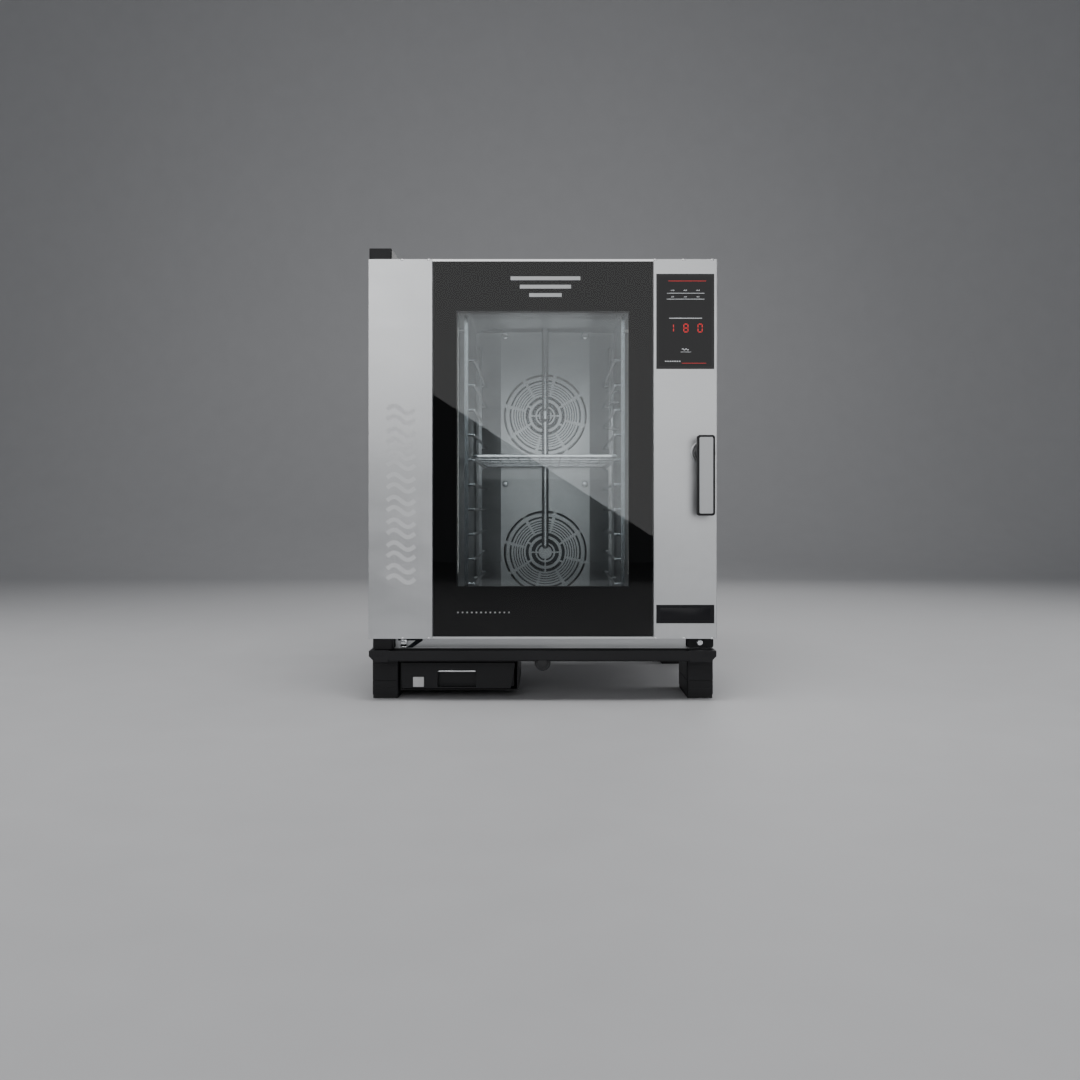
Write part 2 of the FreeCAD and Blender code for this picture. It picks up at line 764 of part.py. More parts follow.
def insulation_jacket():
    """Mineral wool round the cooking space, open at the front."""
    part = body("insulation_jacket")
    wide = cavity_wide + 2 * sheet_thick
    low = floor_z - sheet_thick
    high = ceiling_z + sheet_thick
    add_block(part, "xz", about(middle, wide + 2 * wool_side), span(liner_front, wool_rear),
              (low - wool_under, high + wool_side))
    cut_block(part, "xz", about(middle, wide), span(liner_front, liner_rear + sheet_thick), (low, high))
    back = depth(liner_rear + sheet_thick)
    for height in fan_heights:
        cut_disc(part, "xz", (middle, back, height), wool_side, neck_radius + slip_gap)
        for side in (-1, 1):
            cut_disc(part, "xz", (middle - tail_side, back, height + side * tail_rise),
                     wool_side, tail_radius)
    cut_disc(part, "xy", (drain_at[0], drain_at[1], low), wool_under, drain_run + slip_gap)
    cut_disc(part, "xy", (middle, depth(pipe_deep), high + wool_side), wool_side,
             steam_radius + slip_gap)
    cut_disc(part, "xy", (chimney_at[0], chimney_at[1], high + wool_side), wool_side,
             chimney_radius + slip_gap)


def side_panel(label, side):
    """Outer side sheet with a return at the rear and a row of louvres."""
    part = body(label)
    wide = sorted((side * half, side * inner_half), key=float)
    high = (floor_gap, case_top - sheet_thick)
    add_block(part, "yz", wide, span(frame_deep, rear_face), high)
    fold_wide = 15
    louvre_count = 12
    louvre_pitch = 12
    louvre_high = 4
    louvre_low = floor_gap + 60
    fold = sorted((side * inner_half, side * (inner_half - fold_wide)), key=float)
    add_block(part, "yz", fold, span(rear_face - sheet_thick, rear_face), high)
    origin, width, height, length = face_of("yz", wide, span(rear_face - 182, rear_face - 62),
                                            (louvre_low, louvre_low + louvre_high), True)
    drawing = sketch(part, "yz", origin)
    rectangle(drawing, width, height)
    louvre = pocket(part, drawing, length)
    repeat_line(part, louvre, drawing, "V_Axis", louvre_count, louvre_pitch)


def top_cover():
    """Lid of the casing, with the hole for the chimney."""
    part = body("top_cover")
    high = (case_top - sheet_thick, case_top)
    add_block(part, "xy", (-half, half), span(frame_deep, case_depth), high)
    cut_disc(part, "xy", (chimney_at[0], chimney_at[1], case_top), sheet_thick,
             chimney_radius + slip_gap)


def rear_panel():
    """Rear sheet with its vents and the holes for pipes, gland and cooling fan."""
    part = body("rear_panel")
    deep = span(rear_face, case_depth)
    add_block(part, "xz", (-half, half), deep, (floor_gap, case_top - sheet_thick))
    front = depth(rear_face)
    cut_disc(part, "xz", (middle, front, drain_z), sheet_thick, drain_run + slip_gap)
    for across, height in inlet_places:
        cut_disc(part, "xz", (across, front, height), sheet_thick, inlet_radius + slip_gap)
    cut_disc(part, "xz", (gland_at[0], front, gland_at[1]), sheet_thick, gland_radius + slip_gap)
    cut_disc(part, "xz", (cooling_x, front, cooling_z), sheet_thick, cooling_size / 2 - 5)
    vent_wide = 160
    vent_high = 4
    vent_low = case_top - 90
    vent_count = 5
    vent_pitch = 10
    origin, width, height, length = face_of("xz", about(middle, vent_wide), deep,
                                            (vent_low, vent_low + vent_high), True)
    drawing = sketch(part, "xz", origin)
    rectangle(drawing, width, height)
    vent = pocket(part, drawing, length)
    repeat_line(part, vent, drawing, "V_Axis", vent_count, vent_pitch)


def lower_apron():
    """Steel strip under the door, with a return back to the front frame."""
    part = body("lower_apron")
    wide = (hinge_x + 35, half - 62)
    top = door_low - 2
    add_block(part, "xz", wide, span(apron_front, apron_front + sheet_thick), (base_top, top))
    add_block(part, "xz", wide, span(apron_front + sheet_thick, frame_deep), (top - sheet_thick, top))
    bend = float(depth(apron_front)) + 1
    round_off(part, "x", 1, lambda point: point.z > float(top) - 0.1 and point.y < bend)


def leg_pair(label, start):
    """Left and right leg: a block on a foot block, with a shallow seam between them."""
    blocks = []
    seam_deep = 1.5
    outside = float(leg_wide) / 2 - 0.2
    for side in (-1, 1):
        centre = side * (half - leg_side - leg_wide / 2)
        upper = box(about(centre, leg_wide), span(start, start + leg_deep), (leg_foot, floor_gap))
        seam = box(about(centre, leg_wide - 2 * seam_deep),
                   span(start + seam_deep, start + leg_deep - seam_deep), (leg_foot - seam_deep, leg_foot))
        lower = box(about(centre, leg_wide), span(start, start + leg_deep),
                    (leg_pad, leg_foot - seam_deep))
        blocks.append(soften(fuse([upper, seam, lower]), "z", leg_round,
                             lambda point, c=centre: abs(point.x - float(c)) > outside))
    node(group(blocks), label)


def rubber_pads():
    """Four pads that the legs stand on."""
    pads = []
    for start in (leg_inset, leg_rear):
        for side in (-1, 1):
            centre = side * (half - leg_side - leg_wide / 2)
            pad_block = box(about(centre, leg_wide - 2), span(start + 1, start + leg_deep - 1), (0, leg_pad))
            pads.append(soften(pad_block, "z", leg_round))
    node(group(pads), "rubber_pads")


def drip_gutter():
    """Black trough under the door with its drain boss and spout."""
    part = body("drip_gutter")
    left = -half + gutter_left
    right = half - gutter_right
    base = floor_gap - gutter_high
    wall = gutter_wall
    deep = gutter_rear + gutter_proud
    slant = 4
    points = [(slant, 0), (deep, 0), (deep, gutter_high), (deep - wall, gutter_high),
              (deep - wall, wall), (slant + wall, wall), (wall, slant + wall), (wall, gutter_high),
              (0, gutter_high), (0, slant)]
    add_outline(part, "yz", (left, depth(-gutter_proud), base), points, right - left)
    boss_z = base - 3
    boss = 17
    spout = 10
    spout_long = 40
    spout_bore = 7
    drain_hole = 5
    add_disc(part, "xz", (spout_x, depth(gutter_rear), boss_z), deep - slant, boss)
    cut_block(part, "xy", about(spout_x, 2 * boss + 6), span(wall - gutter_proud, gutter_rear - wall),
              (base + wall, floor_gap))
    add_disc(part, "xz", (spout_x, depth(gutter_rear + spout_long), boss_z), spout_long, spout)
    cut_disc(part, "xz", (spout_x, depth(gutter_rear - 5), boss_z), spout_long + 5, spout_bore)
    cut_disc(part, "xy", (spout_x, depth(gutter_rear - wall - 8), base + wall), 2 * wall + 3, drain_hole)


def gutter_end_caps():
    """Chamfered caps that close the ends of the gutter."""
    caps = []
    cap_proud = 0.5
    cap_slant = 12
    cap_side = 2.5
    low = floor_gap - gutter_high - cap_proud
    deep = span(-gutter_proud - cap_proud, gutter_rear)
    for side, inner in ((-1, half - gutter_left), (1, half - gutter_right)):
        wide = sorted((side * inner, side * (half - cap_side)), key=float)
        block = box(wide, deep, (low, floor_gap))
        doc.recompute()
        cap = doc.addObject("Part::Chamfer", "cap")
        cap.Base = block
        names = edge_names(block.Shape, ALONG["y"],
                           lambda point, s=side: point.z < float(low) + 0.1 and s * point.x > float(half) - 3)
        cap.Edges = [(int(name[4:]), cap_slant, cap_slant) for name in names]
        caps.append(cap)
    node(group(caps), "gutter_end_caps")


def drawer_housing():
    """Case under the base pan that the detergent drawer slides in."""
    part = body("drawer_housing")
    wall = drawer_wall
    add_block(part, "xz", housing_x, span(housing_front, housing_rear), (housing_low, floor_gap))
    cut_block(part, "xz", (housing_x[0] + wall, housing_x[1] - wall),
              span(housing_front, housing_rear - wall), (housing_low + wall, floor_gap - wall))


# ---------------------------------------------------------------- hinges and front trim

def upper_hinge():
    """Top hinge: bracket on the lid and its black cover."""
    part = body("upper_hinge_bracket")
    high = (case_top, case_top + bracket_thick)
    near = -half + bracket_side
    add_block(part, "xy", (near, near + bracket_wide), span(*bracket_deep), high)
    cut_disc(part, "xy", (hinge_x, depth(hinge_deep), high[1]), bracket_thick, pin_hole)
    cover = body("upper_hinge_cover")
    wide = (-half, near + bracket_wide + cover_room)
    deep = (cover_front, bracket_deep[1] + cover_room)
    add_block(cover, "xy", wide, span(*deep), (case_top, case_top + cover_high))
    round_off(cover, "z", cover_round)
    centre = (middle_of(wide), depth(middle_of(deep)), case_top)
    hollow_shape = sketch(cover, "xy", centre)
    rectangle(hollow_shape, extent(wide) - 2 * cover_wall, extent(deep) - 2 * cover_wall)
    hollow = cover.newObject("PartDesign::Pocket", "hollow")
    hollow.Profile = (hollow_shape, [""])
    hollow.Reversed = True
    bind(hollow, "Length", cover_high - cover_wall)
    doc.recompute()


def lower_hinge():
    """Bottom hinge: an arm through the front frame to the base pan, and its black cover."""
    part = body("lower_hinge_bracket")
    add_block(part, "xy", lower_arm_x, span(*bracket_deep), lower_arm)
    add_block(part, "xy", lower_arm_x, span(bracket_deep[1] - arm_thick, bracket_deep[1]),
              (base_top, lower_arm[0]))
    cut_disc(part, "xy", (hinge_x, depth(hinge_deep), lower_arm[1]), lower_arm[1] - lower_arm[0], pin_hole)
    cover = body("lower_hinge_cover")
    top = door_low - door_over
    rear = frame_deep - 8
    sides = (2, 6)
    add_block(cover, "xy", (lower_arm_x[0] - sides[0], lower_arm_x[1] + sides[1]), span(cover_front, rear),
              (base_top, top))
    round_off(cover, "z", cover_round)
    cut_block(cover, "xy", grow(lower_arm_x, slip_gap), span(bracket_deep[0] - slip_gap, rear),
              (lower_arm[0], top))


def hinge_pins():
    """Two shouldered pins on the hinge axis, one from each bracket into the door."""
    y = depth(hinge_deep)
    low_start = lower_arm[0]
    low_pin = rod("z", (hinge_x, y, low_start), door_low + bush_long - low_start, pin_radius)
    low_shoulder = rod("z", (hinge_x, y, lower_arm[1]), 2, pin_radius + 2)
    high_start = door_top - bush_long
    high_pin = rod("z", (hinge_x, y, high_start), case_top + bracket_thick - high_start, pin_radius)
    high_shoulder = rod("z", (hinge_x, y, case_top + bracket_thick), 3, pin_radius + 3)
    node(group([fuse([low_pin, low_shoulder]), fuse([high_pin, high_shoulder])]), "hinge_pins")


def door_stop_arm():
    """Bent dark arm on the apron beside the lower hinge."""
    part = body("door_stop_arm")
    high = door_low - door_over - base_top
    bar = 7
    foot = (18, 31)
    knee = 38
    end = 53
    beside = 41
    points = [(0, high - bar), (knee, high - bar), (foot[0], 0), (foot[1], 0), (end, high - bar - 0.5),
              (end, high), (0, high)]
    add_outline(part, "xz", (hinge_x + beside, depth(apron_front), base_top), points, bracket_thick - 1)


def corner_plate():
    """Black plate at the right end of the apron."""
    part = body("corner_plate")
    plate_wide = (60, 3)
    rear = frame_deep - 8
    corner_round = 6
    add_block(part, "xz", (half - plate_wide[0], half - plate_wide[1]), span(corner_front, rear),
              (base_top, door_low - door_over))
    low = float(base_top) + 0.1
    round_off(part, "y", corner_round, lambda point: point.z < low)


def door_gasket():
    """Rubber seal on the front frame round the cooking space."""
    part = body("door_gasket")
    deep = span(door_thick + safe_gap, frame_deep)
    inside = (floor_z - seal_over, ceiling_z + seal_over)
    wide = grow(cavity_span, seal_over)
    seal_round = 12
    add_block(part, "xz", grow(wide, seal_wide), deep, grow(inside, seal_wide))
    cut_block(part, "xz", wide, deep, inside)
    round_off(part, "y", seal_round)


def latch_keeper():
    """Steel cup behind the front frame that takes the latch tongue."""
    part = body("latch_keeper")
    cup_wall = 2
    cup_deep = 14
    add_block(part, "xz", grow(slot_x, cup_wall), span(liner_front, liner_front + cup_deep + cup_wall),
              grow(slot_z, cup_wall))
    cut_block(part, "xz", slot_x, span(liner_front, liner_front + cup_deep), slot_z)


# ---------------------------------------------------------------- inside the cooking space

def rack(label, side):
    """Two square uprights with a bent rod across them at each level."""
    across = middle + side * rack_half
    high = (floor_z + rack_first - 46, ceiling_z - rack_over + 42)
    pieces = [box(about(across, rack_bar), about(depth(distance), rack_bar), high)
              for distance in post_depths]
    near = across - side * rack_bar / 2
    inner = across - side * rail_reach
    start = near if side < 0 else inner
    reach = rail_reach - rack_bar / 2
    for number in range(int(rack_levels.value)):
        level = floor_z + rack_first + number * rack_pitch
        bends = []
        for distance in post_depths:
            bends.append(rod("x", (start, depth(distance), level), reach, rail_radius))
            bends.append(ball((inner, depth(distance), level), rail_radius))
        long_rod = rod("y", (inner, depth(rack_front), level), rack_deep, rail_radius)
        pieces.append(fuse(bends + [long_rod]))
    node(group(pieces), label)


def fan_guard():
    """Folded sheet before the fans: a flat middle with ring slots and two slanted wings."""
    part = body("fan_guard")
    flat = guard_flat / 2
    side = flat + guard_wing
    lean = guard_lean
    outer_rings = [(0.58 + 0.065 * number, 0.604 + 0.065 * number) for number in range(5)]
    outer_rings += [(0.92, 0.97), (1.06, 1.125)]
    points = [(-flat, 0), (flat, 0), (side, lean), (side, lean + sheet_thick),
              (flat, sheet_thick), (-flat, sheet_thick), (-side, lean + sheet_thick), (-side, lean)]
    low = floor_z + guard_gap
    add_outline(part, "xy", (middle, depth(guard_face), low), points, cavity_high - 2 * guard_gap)
    for height in fan_heights:
        origin = (middle, depth(guard_face), height)
        sectors = sketch(part, "xz", origin)
        for inner, outer in outer_rings:
            arc_slot(sectors, fan_radius * inner, fan_radius * outer, 33.5, 73.5)
        cuts = pocket(part, sectors, sheet_thick)
        repeat_round(part, cuts, sectors, slot_sectors)
        six = sketch(part, "xz", origin)
        arc_slot(six, fan_radius * 0.45, fan_radius * 0.53, 33, 87)
        repeat_round(part, pocket(part, six, sheet_thick), six, 6)
        four = sketch(part, "xz", origin)
        arc_slot(four, fan_radius * 0.27, fan_radius * 0.375, 3.5, 86.5)
        arc_slot(four, fan_radius * 0.18, fan_radius * 0.225, 6, 84)
        repeat_round(part, pocket(part, four, sheet_thick), four, 4)


def ring_heaters():
    """Two heaters, each of three rings with clips and two tails through the rear wall."""
    heaters = []
    centre_deep = liner_rear - fan_behind - fan_deep / 2
    tail_past = 12
    clip = 8
    clip_thick = 5
    for height in fan_heights:
        pieces = []
        for number in (-1, 0, 1):
            pieces.append(ring((middle, depth(centre_deep + number * coil_pitch), height),
                               coil_radius, coil_tube))
        for side in (-1, 1):
            start = (middle - tail_side, depth(centre_deep - coil_pitch), height + side * tail_rise)
            pieces.append(rod("y", start, wool_rear + tail_past - centre_deep + coil_pitch, coil_tube))
        clip_deep = span(centre_deep - coil_pitch, centre_deep + coil_pitch)
        pieces.append(box(about(middle + coil_radius, clip_thick), clip_deep, about(height, clip)))
        for side in (-1, 1):
            pieces.append(box(about(middle, clip), clip_deep,
                              about(height + side * coil_radius, clip_thick)))
        heaters.append(fuse(pieces))
    node(group(heaters), "ring_heaters")


def steam_pipe():
    """Upright pipe before the guard, with a wide nozzle and a rounded end."""
    y = depth(pipe_deep)
    front = y - 6
    end = fan_low + 10 + steam_radius
    pipe_top = ceiling_z + 12
    wide = nozzle_radius - 4
    narrow = steam_radius - 1
    half_high = 11
    taper = 7
    pipe = rod("z", (middle, y, end), pipe_top - end, steam_radius)
    tip = ball((middle, y, end), steam_radius)
    nozzle = rod("z", (middle, front, fan_high - half_high), 2 * half_high, wide)
    upper = cone("z", (middle, front, fan_high + half_high), taper, wide, narrow)
    lower = cone("z", (middle, front, fan_high - half_high - taper), taper, narrow, wide)
    node(fuse([pipe, tip, nozzle, upper, lower]), "steam_pipe")


def wire_shelf():
    """Wire grid: a rod frame, cross rods inside it and long wires on top of them."""
    level = floor_z + rack_first + shelf_level * rack_pitch + rail_radius + safe_gap + shelf_rod
    front = depth(shelf_front + shelf_rod)
    rear = depth(shelf_rear - shelf_rod)
    half_wide = shelf_wide / 2 - shelf_rod
    cross_rods = 3
    cross_radius = 2.4
    wire_level = level + shelf_rod - shelf_wire
    cross_level = wire_level - shelf_wire - cross_radius
    rim = []
    for side in (-1, 1):
        rim.append(rod("y", (middle + side * half_wide, front, level), rear - front, shelf_rod))
        for end in (front, rear):
            rim.append(ball((middle + side * half_wide, end, level), shelf_rod))
    for end in (front, rear):
        rim.append(rod("x", (middle - half_wide, end, level), 2 * half_wide, shelf_rod))
    frame = fuse(rim)
    pieces = [frame]
    for number in range(cross_rods):
        across = front + (rear - front) * (number + 1) / (cross_rods + 1)
        cross = rod("x", (middle - half_wide, across, cross_level), 2 * half_wide, cross_radius)
        pieces.append(cut(cross, [frame]))
    wires = int(shelf_wires.value)
    for number in range(wires):
        across = middle - half_wide + 2 * half_wide * (number + 1) / (shelf_wires + 1)
        wire = rod("y", (across, front, wire_level), rear - front, shelf_wire)
        pieces.append(cut(wire, [frame]))
    node(group(pieces), "wire_shelf")


# ---------------------------------------------------------------- fans, pipes and electrics

def fan_motors():
    """Two motors on the insulated rear wall, each with a neck and a bore for its shaft."""
    motors = []
    for height in fan_heights:
        can = rod("y", (middle, depth(wool_rear), height), motor_deep, motor_radius)
        flange = rod("y", (middle, depth(wool_rear), height), 4, motor_radius + flange_past)
        neck_start = liner_rear + sheet_thick
        neck = rod("y", (middle, depth(neck_start), height), wool_side + 1, neck_radius)
        bore = rod("y", (middle, depth(neck_start), height), wool_side + shaft_past + 2,
                   shaft_radius + run_gap)
        motors.append(cut(fuse([can, flange, neck]), [bore]))
    node(group(motors), "fan_motors")


def impeller(label, height):
    """Fan wheel with slanted blades between two discs, on its shaft."""
    part = body(label)
    rear = liner_rear - fan_behind
    hub = 18
    ring_wide = 22
    add_disc(part, "xz", (middle, depth(rear), height), disc_thick, fan_radius)
    add_disc(part, "xz", (middle, depth(rear), height), fan_deep - 4, hub)
    blade = sketch(part, "xz", (middle, depth(rear - disc_thick), height))
    corners = [(0.66, 0.02), (0.96, 0.18), (0.945, 0.205), (0.65, 0.045)]
    outline(blade, [(fan_radius * u, fan_radius * v) for u, v in corners])
    first = pad(part, blade, fan_deep - 2 * disc_thick)
    repeat_round(part, first, blade, fan_blades)
    rim = sketch(part, "xz", (middle, depth(rear - fan_deep + disc_thick), height))
    circle(rim, fan_radius)
    circle(rim, fan_radius - ring_wide)
    pad(part, rim, disc_thick)
    add_disc(part, "xz", (middle, depth(wool_rear + shaft_past), height),
             wool_rear + shaft_past - rear + fan_deep, shaft_radius)


def cooling_fan():
    """Small fan that blows over the electrics: frame with spokes, and rotor."""
    part = body("cooling_fan_frame")
    deep = span(rear_face - cooling_deep, rear_face)
    add_block(part, "xz", about(cooling_x, cooling_size), deep, about(cooling_z, cooling_size))
    tunnel = cooling_size / 2 - 3
    hub = 18
    axle = 3
    spoke = 5
    spoke_thick = 4
    blade_tip = tunnel - 3
    blade_count = 7
    axle_long = 12
    rotor_hub = 17
    cut_disc(part, "xz", (cooling_x, depth(rear_face - cooling_deep), cooling_z), cooling_deep, tunnel)
    round_off(part, "y", 4)
    spoke_deep = span(rear_face - spoke_thick, rear_face)
    add_block(part, "xz", about(cooling_x, 2 * tunnel + 2), spoke_deep, about(cooling_z, spoke))
    add_block(part, "xz", about(cooling_x, spoke), spoke_deep, about(cooling_z, 2 * tunnel + 2))
    add_disc(part, "xz", (cooling_x, depth(rear_face), cooling_z), spoke_thick, hub)
    add_disc(part, "xz", (cooling_x, depth(rear_face - spoke_thick), cooling_z), axle_long, axle)
    wheel = body("cooling_fan_rotor")
    rear = rear_face - spoke_thick - 1
    add_disc(wheel, "xz", (cooling_x, depth(rear), cooling_z), rotor_hub, hub)
    blade = sketch(wheel, "xz", (cooling_x, depth(rear - 2), cooling_z))
    outline(blade, [(hub - 2, -9), (blade_tip, -13), (blade_tip, 9), (hub - 2, 9)])
    first = pad(wheel, blade, 3)
    repeat_round(wheel, first, blade, blade_count)
    bore_deep = axle_long + 1
    cut_disc(wheel, "xz", (cooling_x, depth(rear - bore_deep), cooling_z), bore_deep, axle + run_gap)


def drain_pipe():
    """Thin drain from the cavity floor, down and back to a thicker spigot behind the rear panel."""
    x, y = drain_at
    run_wall = 1
    spigot_wall = 3
    neck = 2
    rear = depth(case_depth)
    run_long = rear + neck - y
    run_inner = drain_run - run_wall
    spigot_inner = drain_radius - spigot_wall
    down = rod("z", (x, y, drain_z), floor_z - drain_z, drain_run)
    elbow = ball((x, y, drain_z), drain_run)
    out = rod("y", (x, y, drain_z), run_long, drain_run)
    spigot = rod("y", (x, rear, drain_z), rear_proud, drain_radius)
    inlet = rod("z", (x, y, drain_z), floor_z - drain_z, run_inner)
    bore = rod("y", (x, y, drain_z), run_long, run_inner)
    mouth = rod("y", (x, rear + neck, drain_z), rear_proud - neck, spigot_inner)
    node(cut(fuse([down, elbow, out, spigot]), [inlet, bore, mouth]), "drain_pipe")


def water_valve():
    """Solenoid valve behind the rear panel with two threaded connectors."""
    stand_back = 12
    face = rear_face - stand_back
    block_half = 20
    block_deep = 35
    coil_deep = (33, 3)
    coil_wide = 26
    coil_top = 58
    collar_long = 4
    collar_past = 5
    inlet_wall = 4
    left = inlet_places[0][0] - block_half
    right = inlet_places[1][0] + block_half
    height = inlet_places[0][1]
    block = box((left, right), span(face - block_deep, face), about(height, 2 * block_half))
    coils = [box(about(across, coil_wide), span(face - coil_deep[0], face - coil_deep[1]),
                 (height + block_half, height + coil_top))
             for across, level in inlet_places]
    pieces = [block] + coils
    bores = []
    for across, level in inlet_places:
        pieces.append(rod("y", (across, depth(face), level), stand_back + sheet_thick + rear_proud,
                          inlet_radius))
        pieces.append(rod("y", (across, depth(case_depth), level), collar_long,
                          inlet_radius + collar_past))
        bores.append(rod("y", (across, depth(case_depth), level), rear_proud,
                         inlet_radius - inlet_wall))
    node(cut(fuse(pieces), bores), "water_valve")


def exhaust_chimney():
    """Steam outlet from the ceiling of the cooking space up through the lid."""
    x, y = chimney_at
    flange_thick = 3
    flange_side = 12
    low = ceiling_z + sheet_thick
    long = case_top + chimney_high - low
    tube = rod("z", (x, y, low), long, chimney_radius)
    flange = rod("z", (x, y, case_top), flange_thick, chimney_radius + flange_side)
    bore = rod("z", (x, y, low), long, chimney_radius - pipe_wall)
    node(cut(fuse([tube, flange]), [bore]), "exhaust_chimney")


def control_electronics():
    """Circuit board on its standoffs at the right side panel, and three contactors."""
    board_thick = 1.6
    post_long = 12
    post_radius = 3
    board_x = (inner_half - post_long - board_thick, inner_half - post_long)
    board_low = floor_gap + 330
    board_high = board_low + 270
    board_front = frame_deep + 112
    board_rear = board_front + 250
    board = [box(board_x, span(board_front, board_rear), (board_low, board_high))]
    for distance in (board_front + 10, board_rear - 10):
        for height in (board_low + 10, board_high - 10):
            board.append(rod("x", (board_x[1], depth(distance), height), post_long, post_radius))
    parts_on_board = ((35, 50, 60, 40, 25), (120, 50, 40, 40, 30), (190, 70, 50, 70, 18),
                      (40, 140, 90, 90, 35), (160, 180, 70, 50, 22))
    for behind, above, deep, high, thick in parts_on_board:
        start = board_front + behind
        low = board_low + above
        board.append(box((board_x[0] - thick, board_x[0]), span(start, start + deep), (low, low + high)))
    contactors = []
    contactor_wide = 35
    contactor_pitch = 37
    contactor_high = 60
    for number in range(3):
        start = wool_right + 5 + contactor_pitch * number
        block = box((start, start + contactor_wide), span(liner_front + 180, liner_front + 260),
                    (base_top, base_top + contactor_high))
        head = box((start + 4, start + contactor_wide - 4), span(liner_front + 195, liner_front + 245),
                   (base_top + contactor_high, base_top + contactor_high + 18))
        contactors.append(fuse([block, head]))
    node(group([fuse(board)] + contactors), "control_electronics")


def cable_gland():
    """Entry for the supply cable in the rear panel."""
    x, z = gland_at
    inward = 10
    nut_thick = 7
    cable_radius = 7
    neck = rod("y", (x, depth(rear_face - inward), z), sheet_thick + inward, gland_radius)
    nut = rod("y", (x, depth(case_depth), z), nut_thick, gland_radius + 5)
    dome = cone("y", (x, depth(case_depth + nut_thick), z), rear_proud - nut_thick,
                gland_radius + 2, gland_radius - 1)
    inside = rod("y", (x, depth(rear_face - 6), z), 6, gland_radius + 4)
    bore = rod("y", (x, depth(rear_face - inward), z), rear_proud + inward + sheet_thick, cable_radius)
    node(cut(fuse([neck, nut, dome, inside]), [bore]), "cable_gland")


def casing_screws():
    """Screw heads on the rear panel, the lid and the corner plate, and the earth stud."""
    screws = []
    head_high = 2.4
    head_radius = 5
    rear_side = 12
    rear_end = 40
    lid_side = 30
    lid_rows = (frame_deep + 62, case_depth - 30)
    for across in (-half + rear_side, half - rear_side):
        for height in (floor_gap + rear_end, (floor_gap + case_top) / 2, case_top - rear_end):
            screws.append(rod("y", (across, depth(case_depth), height), head_high, head_radius))
    for across in (-half + lid_side, 0, half - lid_side):
        for distance in lid_rows:
            screws.append(rod("z", (across, depth(distance), case_top), head_high, head_radius))
    plate_side = 33
    plate_under = 12
    plate_head_high = 2
    plate_head_radius = 6.5
    plate_head = (half - plate_side, depth(corner_front - plate_head_high), door_low - plate_under)
    screws.append(rod("y", plate_head, plate_head_high, plate_head_radius))
    earth_side = 120
    earth = (half - earth_side, depth(case_depth), floor_gap + rear_end)
    stud = rod("y", earth, 15, 4)
    nut = rod("y", earth, 6, 8)
    screws.append(fuse([stud, nut]))
    node(group(screws), "casing_screws")


# ---------------------------------------------------------------- door

skin = sheet_thick
door_back = door_thick - sheet_thick
glass_low = door_low + trim_high
glass_top = door_top - trim_high
window_z = (door_low + window_low, door_top - window_over)
window_wide = window_half * 2
display_x = (half - display_edge - display_wide, half - display_edge)
display_z = (display_low, display_low + display_high)
port_z = (door_low + port_low, door_low + port_low + port_high)
lip = 8
fold_round = 1.2
pane_front = 24
pane_proud = 1
middle_over = 14
inner_over = 17
channel_side = 22
channel_wide = 24
bearing_radius = 16
block_high = 30


def door_frame():
    """Black frame behind the outer glass, round the window."""
    part = body("door_frame")
    deep = span(pane_proud + glass_thick, pane_front)
    add_block(part, "xz", (-glass_left + skin + slip_gap, glass_right - skin - slip_gap), deep,
              (glass_low, glass_top))
    cut_block(part, "xz", (-window_half, window_half), deep, window_z)


def panes():
    """Three panes: the wide outer glass, the middle one and the one at the back of the door."""
    plain("outer_glass", (-glass_left + slip_gap, glass_right - slip_gap),
          span(pane_proud, pane_proud + glass_thick), (glass_low, glass_top))
    plain("middle_glass", about(0, window_wide + 2 * middle_over),
          span(pane_front, pane_front + glass_thick), grow(window_z, middle_over))
    plain("inner_glass", about(0, window_wide + 2 * inner_over),
          span(door_back - glass_thick, door_back), grow(window_z, inner_over))


def door_inner_panel():
    """Steel tray that closes the door: back plate, top and bottom flanges and two channels."""
    part = body("door_inner_panel")
    deep = span(door_back, door_thick)
    add_block(part, "xz", (-half, half), deep, (door_low, door_top))
    cut_block(part, "xz", about(0, window_wide + 20), deep, grow(window_z, 10))
    inside = (-inner_half, inner_half)
    for high in ((door_low, door_low + skin), (door_top - skin, door_top)):
        add_block(part, "xy", inside, span(lip, door_back), high)
        for low_x, high_x in ((-inner_half, -glass_left - skin), (glass_right + skin, inner_half)):
            add_block(part, "xy", (low_x, high_x), span(skin, lip), high)
        cut_disc(part, "xy", (hinge_x, depth(hinge_deep), high[1]), skin, bush_radius)
    for side in (-1, 1):
        near = window_half + channel_side
        wide = sorted((side * near, side * (near + channel_wide)), key=float)
        add_block(part, "xy", wide, span(pane_front, door_back), (door_low + skin, door_top - skin))
    cut_disc(part, "xz", (handle_x, depth(door_back), handle_z), skin, spindle_radius + 1)


def left_door_cover():
    """Folded steel cover on the hinge side of the door."""
    part = body("left_door_cover")
    wide = half - glass_left
    points = [(0, 0), (wide, 0), (wide, lip), (wide - skin, lip), (wide - skin, skin), (skin, skin),
              (skin, door_back), (0, door_back)]
    add_outline(part, "xy", (-half, depth(0), door_low), points, door_high)
    front = float(depth(0)) + 0.1
    round_off(part, "z", fold_round, lambda point: point.y < front)


